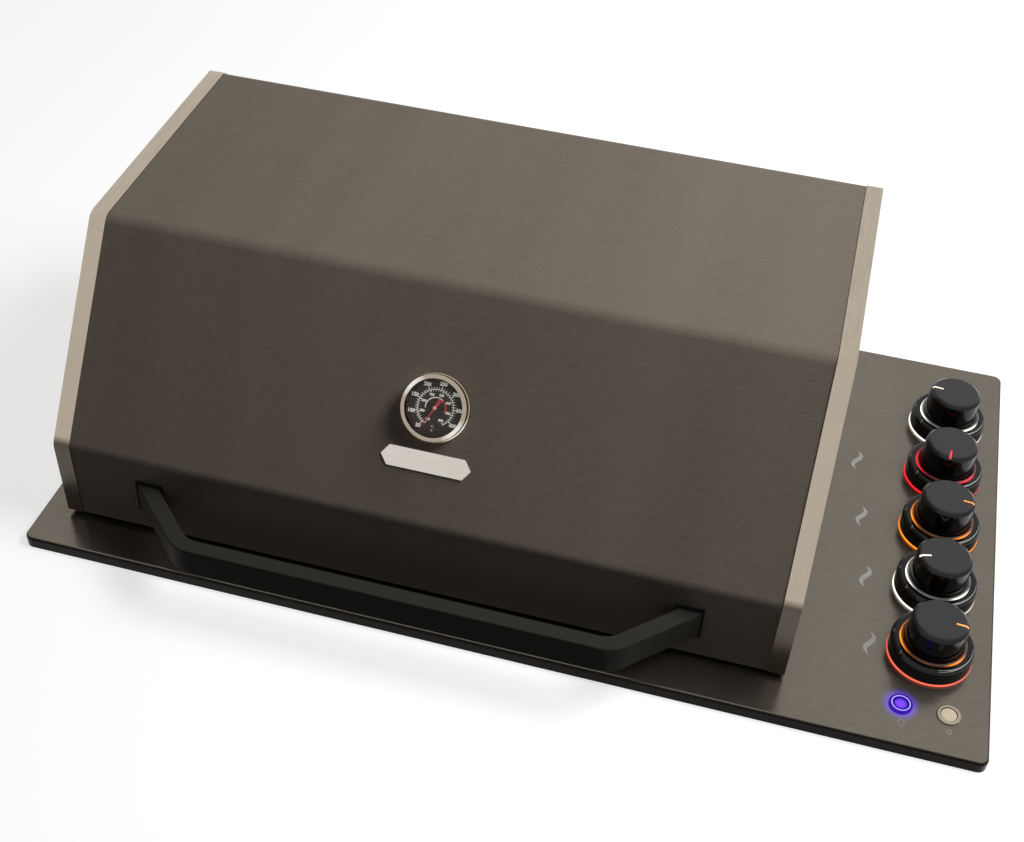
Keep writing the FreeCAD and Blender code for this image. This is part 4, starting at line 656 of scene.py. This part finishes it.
TUBE_HILLS = [(190, 46, 1.0), (250, 60, 0.05), (318, 32, 1.0), (90, 120, 0.5)]
FRONT_HILLS = [(205, 70, 1.0), (265, 60, 0.4), (330, 40, 0.35)]
WIDE_HILLS = [(215, 90, 1.0), (290, 80, 1.0), (0, 60, 0.4)]
WHITE, RED, AMBER, CORAL = "#fffbee", "#ff1f2b", "#ff8a1c", "#ff6a52"
# Each ring's tube colour, flange colour, strength and flange hills.
RINGS = {1: (WHITE, WHITE, 2.2, FRONT_HILLS), 2: (RED, RED, 1.7, FRONT_HILLS),
         3: (AMBER, AMBER, 1.7, WIDE_HILLS), 4: (WHITE, WHITE, 2.2, FRONT_HILLS),
         5: (AMBER, CORAL, 1.7, WIDE_HILLS)}
print("colours for", len(RINGS), "rings")

# %% Light guides
# Clear polycarbonate, moulded, with a lamp behind it: the plastic itself seems to shine, and where no lamp is
# near it is only a dark grey gloss. One of the rings has a flange of another colour than the tube.
FLANGE_SHARE = 0.8
for n, (glow, flange_glow, strength, flange_hills) in RINGS.items():
    points, faces = turned(GUIDE, GUIDE_STEPS)
    guide = put("light_guide_%d" % n, points * MM + KNOBS[n], faces,
                lit_plastic("lit polycarbonate ring %d" % n, glow, strength), "grill")
    if flange_glow != glow:
        guide.data.materials.append(lit_plastic("lit polycarbonate flange %d" % n, flange_glow,
                                                strength * FLANGE_SHARE))
        on_flange = (np.hypot(points[:, 0], points[:, 1])[faces] > FLANGE_FROM).any(1)
        guide.data.polygons.foreach_set("material_index", on_flange.astype(np.int32))
    keep_glow(guide, ring_glow(points, TUBE_HILLS, flange_hills))
    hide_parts("light_rings")

# %% [markdown]
# ## The lit pointers
# A slot runs from the knob's flat face over its shoulder, with a clear bar in it that carries the ring's
# light. The bar is a flat profile carried along a short line that follows the knob's face and bevel. It rides
# on the knob, so it turns and sinks with it.

# %% Pointers
# The line's (distance from the axis, height), and each pointer's turn in degrees, colour and strength.
POINTER_LINE = np.array([(13.9, 62.1), (22.9, 62.15), (23.6, 61.7), (25.9, 59.8), (26.6, 58.9)])
POINTER_HALF, POINTER_SUNK, POINTER_THICK = [0.7, 1.05, 1.05, 1.05, 0.8], 1.0, 1.25
POINTERS = {1: (175, "#fff6df", 1.3), 2: (266, RED, 1.6), 3: (353, "#ff9a38", 1.3), 4: (197, "#fff6df", 1.3),
            5: (355, "#ffa44a", 1.4)}
UP = np.array([0, 0, 1.0])


def four_edged(edges, step=1):
    """A bar from four lines of points, closed at both ends. A step of -1 turns its faces round."""
    points = np.stack(edges, 1)
    last = 4 * len(points) - 4
    faces = quads(len(points), 4, False, True).tolist() + [[3, 2, 1, 0], [last, last + 1, last + 2, last + 3]]
    return points.reshape(-1, 3), [face[::step] for face in faces]


def carried(middle, side, rise, half_width, thickness):
    """A flat bar along a line of points. Its four edges are middle plus or minus half_width along side, at 0
    and at thickness along rise. The two ends are closed."""
    middle, side, rise = (np.broadcast_to(np.asarray(v, float), (len(middle), 3))
                          for v in (middle, side, rise))
    side = side * np.broadcast_to(np.asarray(half_width, float), len(middle))[:, None]
    rise = rise * thickness
    return four_edged([middle - side, middle + side, middle + side + rise, middle - side + rise], -1)


# The same lit polycarbonate as the rings, all of it bright.
for n, (turn, glow, strength) in POINTERS.items():
    out = np.array([math.cos(math.radians(turn)), math.sin(math.radians(turn)), 0])
    across = np.array([-out[1], out[0], 0])
    line = POINTER_LINE[:, :1] * out + POINTER_LINE[:, 1:] * UP
    slope = np.gradient(POINTER_LINE, axis=0)
    rise = slope[:, :1] * UP - slope[:, 1:] * out
    rise /= np.linalg.norm(rise, axis=1, keepdims=True)
    points, faces = carried(line - POINTER_SUNK * rise, across, rise, POINTER_HALF, POINTER_THICK)
    pointer = put("pointer_%d" % n, points * MM + KNOBS[n], faces,
                  lit_plastic("lit polycarbonate pointer %d" % n, glow, strength), "knob_%d_push" % n)
    keep_glow(pointer, np.ones(len(points)))

# %% [markdown]
# ## The push buttons
# Both push buttons are turned stainless. The left one has a blue-violet light ring in its head. It is a thin
# turned ring that stands a hair above the steel, and the cap, the housing and the deck near it take some of
# its light. A real lamp there would light half the deck in a render, so that light is painted into the
# steel's own finish as a painted violet glow: it fades with the distance from the button's axis.

# %% Turned steel with painted violet light
VIOLET = "#5222f0"
BUTTON, SPARK_BUTTON = foot_of("light_button_cap"), foot_of("ignition_button_cap")
# The tool's rings are really 0.1 mm apart. They are drawn this far apart.
TURNED_RING = 0.7


def from_axis(tree, foot):
    """The distance from an upright axis: the point is brought down to zero height and measured to the axis's
    foot."""
    flat = add(tree, "VectorMath", {0: add(tree, "TexCoord").outputs["Object"], 1: (1, 1, 0)},
               operation="MULTIPLY")
    return add(tree, "VectorMath", {0: flat, 1: foot}, operation="DISTANCE").outputs["Value"]


def near_light(tree, radius_mm, edge_mm):
    """1 within a radius of the light button's axis, falling evenly to 0 at the edge."""
    return add(tree, "MapRange", {"Value": from_axis(tree, BUTTON), "From Min": radius_mm * MM,
                                  "From Max": edge_mm * MM, "To Min": 1.0, "To Max": 0.0})


def turned_steel(name, dark, light, lit, strength, radius_mm, edge_mm):
    """Turned steel with rings round the nearer button's axis: noise of the distance over the ring's width.
    Near the light button it takes painted light: the lit colour, and a painted glow by strength."""
    material, tree = begin(name)
    nearer = add(tree, "Math", {0: from_axis(tree, BUTTON), 1: from_axis(tree, SPARK_BUTTON)},
                 operation="MINIMUM")
    along = add(tree, "Math", {0: nearer, 1: TURNED_RING * MM}, operation="DIVIDE")
    rings = add(tree, "TexNoise", {"W": along, "Scale": 1.0}, noise_dimensions="1D")
    plain, roughness = follow(tree, rings, SPREAD, dark, light, (0.2, 0.3))
    near = near_light(tree, radius_mm, edge_mm)
    colour = add(tree, "Mix", {"Factor": near, "A": plain, "B": linear(lit)}, data_type="RGBA")
    power = add(tree, "MapRange", {"Value": near, "To Max": strength})
    return surface(material, colour.outputs["Result"], roughness, {
        "Metallic": 1.0, "Emission Color": linear(VIOLET), "Emission Strength": power})


print("button axes in mm:", *[np.round(foot[:2] / MM, 1).tolist() for foot in (BUTTON, SPARK_BUTTON)])

# %% Button finishes
# Turned stainless: the tool's fine rings break up what the steel mirrors into soft circles. The light cap is
# steel painted with only the violet light, palest at its middle, and the housing takes a painted violet
# glow near the light button.
dress(turned_steel("turned stainless cap in painted violet light", "#2a1a8c", "#32209c", lit="#8452dc", strength=0.6,
                   radius_mm=3.6, edge_mm=6.4), "light_button_cap")
dress(turned_steel("turned stainless housing with painted violet glow", "#8d8274", "#c6bcae", lit="#2c1870", strength=0.3,
                   radius_mm=11, edge_mm=16), "button_housings")
dress(turned_steel("turned stainless cap", "#c9baa0", "#d6c8b0", lit="#d6c8b0", strength=0, radius_mm=1,
                   edge_mm=2), "ignition_button_cap")

# The deck's own finish takes a painted violet glow round the button, as a halo. A power of the nearness makes
# it fall off fast.
HALO_FROM, HALO_TO, HALO_POWER = 9, 21, 2.2
tree = deck_steel.node_tree
halo = add(tree, "Math", {0: near_light(tree, HALO_FROM, HALO_TO), 1: HALO_POWER}, operation="POWER")
deck_shader = tree.nodes["Principled BSDF"]
deck_shader.inputs["Emission Color"].default_value = linear(VIOLET)
tree.links.new(halo.outputs[0], deck_shader.inputs["Emission Strength"])
print("halo from", HALO_FROM, "to", HALO_TO, "mm")

# %% Button ring
# The button's light ring is lit polycarbonate as well.
BUTTON_RING = [(7.85, 14.5), (8.7, 14.5), (8.7, 14.8), (8.5, 14.9), (8.05, 14.9), (7.85, 14.8)]
BUTTON_RING_STEPS = 96
points, faces = turned(BUTTON_RING, BUTTON_RING_STEPS)
button_light = put("button_light", points * MM + BUTTON, faces,
                   lit_plastic("lit polycarbonate button ring", "#a89cff", 1.6), "grill")
keep_glow(button_light, np.ones(len(points)))

# %% [markdown]
# ## Printed marks on the dial
# Marks are thin closed meshes that stand a twentieth of a millimetre proud, so they stay sharp at any size
# and need no image. The dial carries plain figures and ticks: an outer scale in degrees Celsius and an inner
# one in Fahrenheit on the same ring, and an arc that turns red where it gets hot. The dial lies in the plane
# of the hood's sloping front, so everything is drawn flat first and then laid onto that plane.

# %% Inks
# Screen-printed ink: matt, a little uneven where the mesh left it thick or thin. The mesh is near 0.1 mm and
# is drawn coarser. Only the colour differs from place to place.
MESH, INK_HIGH = 0.7, 0.002
white_ink, red_ink, grey_ink, deck_ink = (
    skin(name, thin, thick, (0.5, 0.65), MESH, INK_HIGH) for name, thin, thick in [
        ("white screen print", "#d8d4ca", "#e6e3da"), ("red screen print", "#a82a33", "#bb3640"),
        ("grey screen print", "#8f8f8d", "#9d9d9a"), ("pale grey screen print", "#8b8a87", "#969592")])
print("inks:", *[made.name for made in (white_ink, red_ink, grey_ink, deck_ink)], sep="\n  ")

# %% Figures, ticks and arcs
PRINT = 0.05 * MM


def figures(text, height, thickness=PRINT, bold=0.0):
    """Plain figures as (points, faces), centred, X along the line, Y up and Z out, closed all round. bold
    widens each stroke. They are made as a text object, turned to a mesh and removed."""
    curve = bpy.data.curves.new("figures", "FONT")
    curve.body, curve.size, curve.extrude, curve.offset = text, height, thickness / 2, bold
    curve.align_x, curve.align_y, curve.resolution_u = "CENTER", "CENTER", 3
    holder = new_object("figures", curve)
    bpy.context.view_layer.update()
    mesh = bpy.data.meshes.new_from_object(holder.evaluated_get(bpy.context.evaluated_depsgraph_get()))
    points = np.zeros(len(mesh.vertices) * 3)
    mesh.vertices.foreach_get("co", points)
    faces = [list(p.vertices) for p in mesh.polygons]
    bpy.data.objects.remove(holder)
    bpy.data.curves.remove(curve)
    bpy.data.meshes.remove(mesh)
    return points.reshape(-1, 3), faces


def ticks(angles, inner, outer, width):
    """Thin boxes from radius inner to outer at clockwise angles from the top: each corner of a unit box is
    radius along the angle and width across it."""
    a = np.radians(np.asarray(angles, float))[:, None]
    r = np.array([inner, outer, outer, inner] * 2)[None, :]
    w = np.array([-width, -width, width, width] * 2)[None, :] / 2
    z = np.array([0] * 4 + [PRINT] * 4)[None, :] + 0 * a
    x, y = r * np.sin(a) - w * np.cos(a), r * np.cos(a) + w * np.sin(a)
    box = np.array([(0, 1, 2, 3), (7, 6, 5, 4), (4, 5, 1, 0), (5, 6, 2, 1), (6, 7, 3, 2), (7, 4, 0, 3)])
    return (np.stack([x, y, z], -1).reshape(-1, 3),
            (box[None] + 8 * np.arange(len(a))[:, None, None]).reshape(-1, 4))


def arc(first, last, radius, half_widths, steps=48, thickness=PRINT):
    """A flat arc at clockwise angles from the top. Its half width goes evenly from the first of half_widths
    to the second."""
    a = np.radians(np.linspace(first, last, steps))
    spoke = np.stack([np.sin(a), np.cos(a), 0 * a], -1)
    return carried(radius * spoke, spoke, UP, np.linspace(*half_widths, steps), thickness)


def at_angle(part, angle, radius, tilt=0.0):
    """A flat part turned by tilt degrees and moved out to that radius at a clockwise angle from the top."""
    p, faces = part
    t, a = math.radians(tilt), math.radians(angle)
    x, y = p[:, 0] * math.cos(t) - p[:, 1] * math.sin(t), p[:, 0] * math.sin(t) + p[:, 1] * math.cos(t)
    return np.stack([x + radius * math.sin(a), y + radius * math.cos(a), p[:, 2]], -1), faces


def together(parts):
    """Several (points, faces) pairs as one: the points stacked, each pair's faces moved on by the points
    before them."""
    starts = np.cumsum([0] + [len(p) for p, f in parts[:-1]])
    return (np.concatenate([np.asarray(p, float) for p, f in parts]),
            [[int(i + s) for i in face] for (p, f), s in zip(parts, starts) for face in f])


print("one tick has", len(ticks([0], 1, 2, 1)[0]), "points")

# %% Dial print
SCALE_FIRST, SCALE_SPAN, COOLEST, HOTTEST = 215.0, 270.0, 50, 400
RING_RADIUS, ARC_RADIUS, ARC_MEETS = 17.0 * MM, 9.6 * MM, (395, 0.55 * MM)
FIGURE, SMALL_FIGURE = 4.6 * MM, 3.0 * MM


def dial_angle(celsius):
    """The coolest mark is at the first angle and the hottest at the end of the span, with even steps
    between."""
    return SCALE_FIRST + (np.asarray(celsius, float) - COOLEST) * SCALE_SPAN / (HOTTEST - COOLEST)


def of_fahrenheit(values):
    """Celsius is Fahrenheit less 32, over 1.8."""
    return dial_angle((np.asarray(values) - 32) / 1.8)


def on_dial(points, lift=0.0):
    """Flat points (x, y up the slope, z out) onto the dial's face, plus lift along its normal."""
    p = np.asarray(points, float)
    return DIAL + p[:, :1] * RIGHT + p[:, 1:2] * UP_SLOPE + (p[:, 2:] + lift) * OUT_OF_SLOPE


fifties, hundreds = range(COOLEST, HOTTEST + 1, 50), range(100, 801, 100)
parts = [ticks(dial_angle(range(COOLEST, HOTTEST + 1, 10)), RING_RADIUS, 19.2 * MM, 0.5 * MM),
         ticks(dial_angle(fifties), RING_RADIUS, 20.4 * MM, 0.85 * MM),
         ticks(of_fahrenheit(range(100, 801, 20)), 15.2 * MM, RING_RADIUS, 0.5 * MM),
         ticks(of_fahrenheit(hundreds), 14.6 * MM, RING_RADIUS, 0.85 * MM),
         arc(205, 507, RING_RADIUS, (0.32 * MM, 0.32 * MM), 120),
         arc(262, ARC_MEETS[0], ARC_RADIUS, (0.45 * MM, ARC_MEETS[1])),
         at_angle(figures("°C", SMALL_FIGURE), 180, 17.6 * MM),
         at_angle(figures("°F", SMALL_FIGURE), 180, 21.4 * MM)]
parts += [at_angle(figures(str(c), FIGURE, bold=0.25 * MM), dial_angle(c), 22.9 * MM) for c in fifties]
parts += [at_angle(figures(str(f), SMALL_FIGURE, bold=0.18 * MM), of_fahrenheit(f), 12.6 * MM)
          for f in hundreds]
points, faces = together(parts)
put("dial_print", on_dial(points), faces, white_ink, "hood")
points, faces = arc(ARC_MEETS[0], 470, ARC_RADIUS, (ARC_MEETS[1], 0.8 * MM))
put("dial_hot_arc", on_dial(points), faces, red_ink, "hood")

# %% [markdown]
# ## The needle
# The needle is a thin blade that tapers to a point at one end and widens to a counterweight at the other. It
# could be a cut sheet, but a real one has a soft ridge, so its section is a low roof: two edges and a ridge,
# carried along its length. A small domed cap, a turned profile, holds it at its middle. Together they replace
# the CAD needle and ride with it.

# %% Needle
NEEDLE_TURN = 207.0
NEEDLE_HEIGHT = 2.1 * MM
STATIONS = np.array([-9.6, -9.2, -2, 0, 4, 22]) * MM
HALF_WIDTHS = np.array([2.1, 2.3, 1.3, 1.0, 0.8, 0.3]) * MM
BLADE_THICK = 0.3 * MM
HUB, HUB_STEPS = [(0.02, -0.2), (1.7, -0.2), (1.7, 0.7), (1.4, 1.2), (0.7, 1.5), (0.02, 1.6)], 32


def needle_blade(along, half_widths, thickness):
    """Four edges along Y at each station: left, bottom, right and ridge. The ridge stands above the thickness
    by the same again where the blade is widest, and less where it is narrow."""
    zero, w = 0 * along, half_widths
    edge, ridge = zero + thickness / 2, thickness * (1 + w / w.max())
    return four_edged([np.stack(line, -1) for line in ((-w, along, edge), (zero, along, zero),
                                                       (w, along, edge), (zero, along, ridge))])


# Red paint on a stamped blade: satin, so it is as red from any side.
needle_paint = skin("satin red paint on a stamped blade", "#941f28", "#a62a33", (0.35, 0.45), 0.6, 0.002)
points, faces = at_angle(needle_blade(STATIONS, HALF_WIDTHS, BLADE_THICK), 0, 0, -NEEDLE_TURN)
blade = put("dial_needle", on_dial(points, NEEDLE_HEIGHT), faces, needle_paint, "needle")

# Moulded acetal: a pale pink cap, smooth enough for one small highlight.
hub_acetal = skin("moulded pink acetal", "#cf938c", "#dba39b", (0.25, 0.35), 0.6, 0.002)
points, faces = turned(HUB, HUB_STEPS)
hub = put("needle_hub", on_dial(points * MM, NEEDLE_HEIGHT), faces, hub_acetal, "needle")
for piece in (blade, hub):
    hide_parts("gauge_needle")

# %% [markdown]
# ## Bezel marks
# Round each knob the bezel is printed with OFF, a small flame, a bar for high and an arc that thins towards
# low. They stand where the bezel's flat top rolls down to its edge, so each mark is drawn flat, bent round
# the knob and dropped onto that curve, and the same marks serve all five knobs.

# %% Bezel print
BEZEL_TOP, SHOULDER_FROM, SHOULDER = 32.1, 34.9, 4.5
# Marks stop at this share of the shoulder, because its quarter circle ends upright.
SHOULDER_SHARE = 0.98
BEZEL_PRINT, PROUD = 0.06, 0.02
FLAME_SWING, FLAME_HALF, THINNEST = 0.22, 0.17, 0.02


def on_bezel(points, middle_angle, radius):
    """Flat points in mm, x clockwise and y outward, bent round the knob: the angle changes by x over radius
    and the height follows the shoulder's quarter circle."""
    p = np.asarray(points, float)
    r = radius + p[:, 1]
    a = np.radians(middle_angle) - p[:, 0] / radius
    past = np.clip(r - SHOULDER_FROM, 0, SHOULDER * SHOULDER_SHARE)
    drop = SHOULDER - np.sqrt(SHOULDER ** 2 - past ** 2)
    return np.stack([r * np.cos(a), r * np.sin(a), BEZEL_TOP - drop + p[:, 2] + PROUD], -1)


def flame_mark(height):
    """A small wavy stroke: x is a share of the height times the sine of one turn, and its middle is
    thickest."""
    t = np.linspace(0, 1, 17)
    middle = np.stack([FLAME_SWING * height * np.sin(2 * np.pi * t), height * (t - 0.5), 0 * t], -1)
    return carried(middle, RIGHT, UP, THINNEST + FLAME_HALF * height * np.sin(np.pi * t), BEZEL_PRINT)


def flat_figures(text, height):
    """Figures in millimetres."""
    p, f = figures(text, height * MM, BEZEL_PRINT * MM)
    return p / MM, f


def tapered_line(first, last, radius, half_widths, steps=40):
    """A straight line as long as the arc between two angles. Its half width goes from the first to the
    second."""
    t = np.linspace(-0.5, 0.5, steps)
    line = np.stack([np.radians(first - last) * radius * t, 0 * t, 0 * t], -1)
    return carried(line, np.array([0, 1, 0]), UP, np.linspace(*half_widths, steps), BEZEL_PRINT)


# Each mark and the angle of its middle, anticlockwise from X.
MARK_RADIUS = 36.6
MARKS = [(flat_figures("OFF", 2.6), 176), (flame_mark(3.8), 218), (flat_figures("I", 3.4), 271),
         (tapered_line(280, 360, MARK_RADIUS, (1.0, 0.15)), 320)]
points, faces = together([(on_bezel(p, angle, MARK_RADIUS), f) for (p, f), angle in MARKS])
for n, place in KNOBS.items():
    put("bezel_print_%d" % n, points * MM + place, faces, grey_ink, "grill")

# %% [markdown]
# ## Deck marks
# The deck has a wavy flame mark beside four of the knobs and two tiny pictures by the buttons: a lamp and a
# burst of sparks. They could be an image on the deck, but as thin meshes they need no file and stay sharp.

# %% Deck print
DECK_TOP, DECK_PRINT = 12.51, 0.05
WAVES = [(320.7, 85.8), (332.8, 0.9), (344.1, -83.3), (355.2, -169.5)]
WAVE_LONG, WAVE_REACH, WAVE_HALF, WAVE_TIP, WAVE_POWER = 29, 3.6, 2.6, 0.05, 0.8
BULB, SPARK = (390.6, -254.8), (433.4, -253.3)
BULB_RADIUS, BULB_HALF = 2.9, 0.36
RAYS, RAY_FROM, RAY_TO, RAY_HALF = 9, 1.1, 3.3, 0.34


def wave_mark():
    """A stroke down the deck that swings right, then left: x is its reach times the sine of one turn, and
    both ends are thin."""
    t = np.linspace(0, 1, 41)
    middle = np.stack([WAVE_REACH * np.sin(2 * np.pi * t), WAVE_LONG * (0.5 - t), 0 * t], -1)
    way = np.gradient(middle, axis=0)
    side = np.stack([way[:, 1], -way[:, 0], 0 * t], -1) / np.linalg.norm(way, axis=1)[:, None]
    half = WAVE_TIP + WAVE_HALF * np.sin(np.pi * t) ** WAVE_POWER
    return carried(middle, side, UP, half, DECK_PRINT)


def stroke(start, end, half_width):
    """A straight thin bar between two flat points in mm."""
    line = np.linspace((*start, 0), (*end, 0), 3)
    way = line[-1] - line[0]
    side = np.array([way[1], -way[0], 0]) / np.linalg.norm(way)
    return carried(line, side, UP, half_width, DECK_PRINT)


def on_deck(parts, place):
    """Flat parts in mm moved to their place on the deck's top."""
    return [(p + np.array([*place, DECK_TOP]), faces) for p, faces in parts]


bulb = [arc(-140, 140, BULB_RADIUS, (BULB_HALF,) * 2, 33, DECK_PRINT),
        stroke((-1.3, -3.4), (1.3, -3.4), BULB_HALF), stroke((-0.9, -4.7), (0.9, -4.7), BULB_HALF)]
rays = [np.array([math.sin(a), math.cos(a)]) for a in np.radians(np.arange(RAYS) * 360 / RAYS)]
spark = [stroke(RAY_FROM * ray, RAY_TO * ray, RAY_HALF) for ray in rays]
waves = [part for place in WAVES for part in on_deck([wave_mark()], place)]
pictures = on_deck(bulb, BULB) + on_deck(spark, SPARK)
for name, parts in {"deck_waves": waves, "deck_pictures": pictures}.items():
    points, faces = together(parts)
    put(name, points * MM, faces, deck_ink, "grill")

# %% [markdown]
# ## The parts without a finish
# Every CAD part that still shows has a finish by now, and the parts without one are printed.

# %% The last line
print("CAD parts without a finish:", sorted(set(nodes) - dressed), "which new pieces replace")
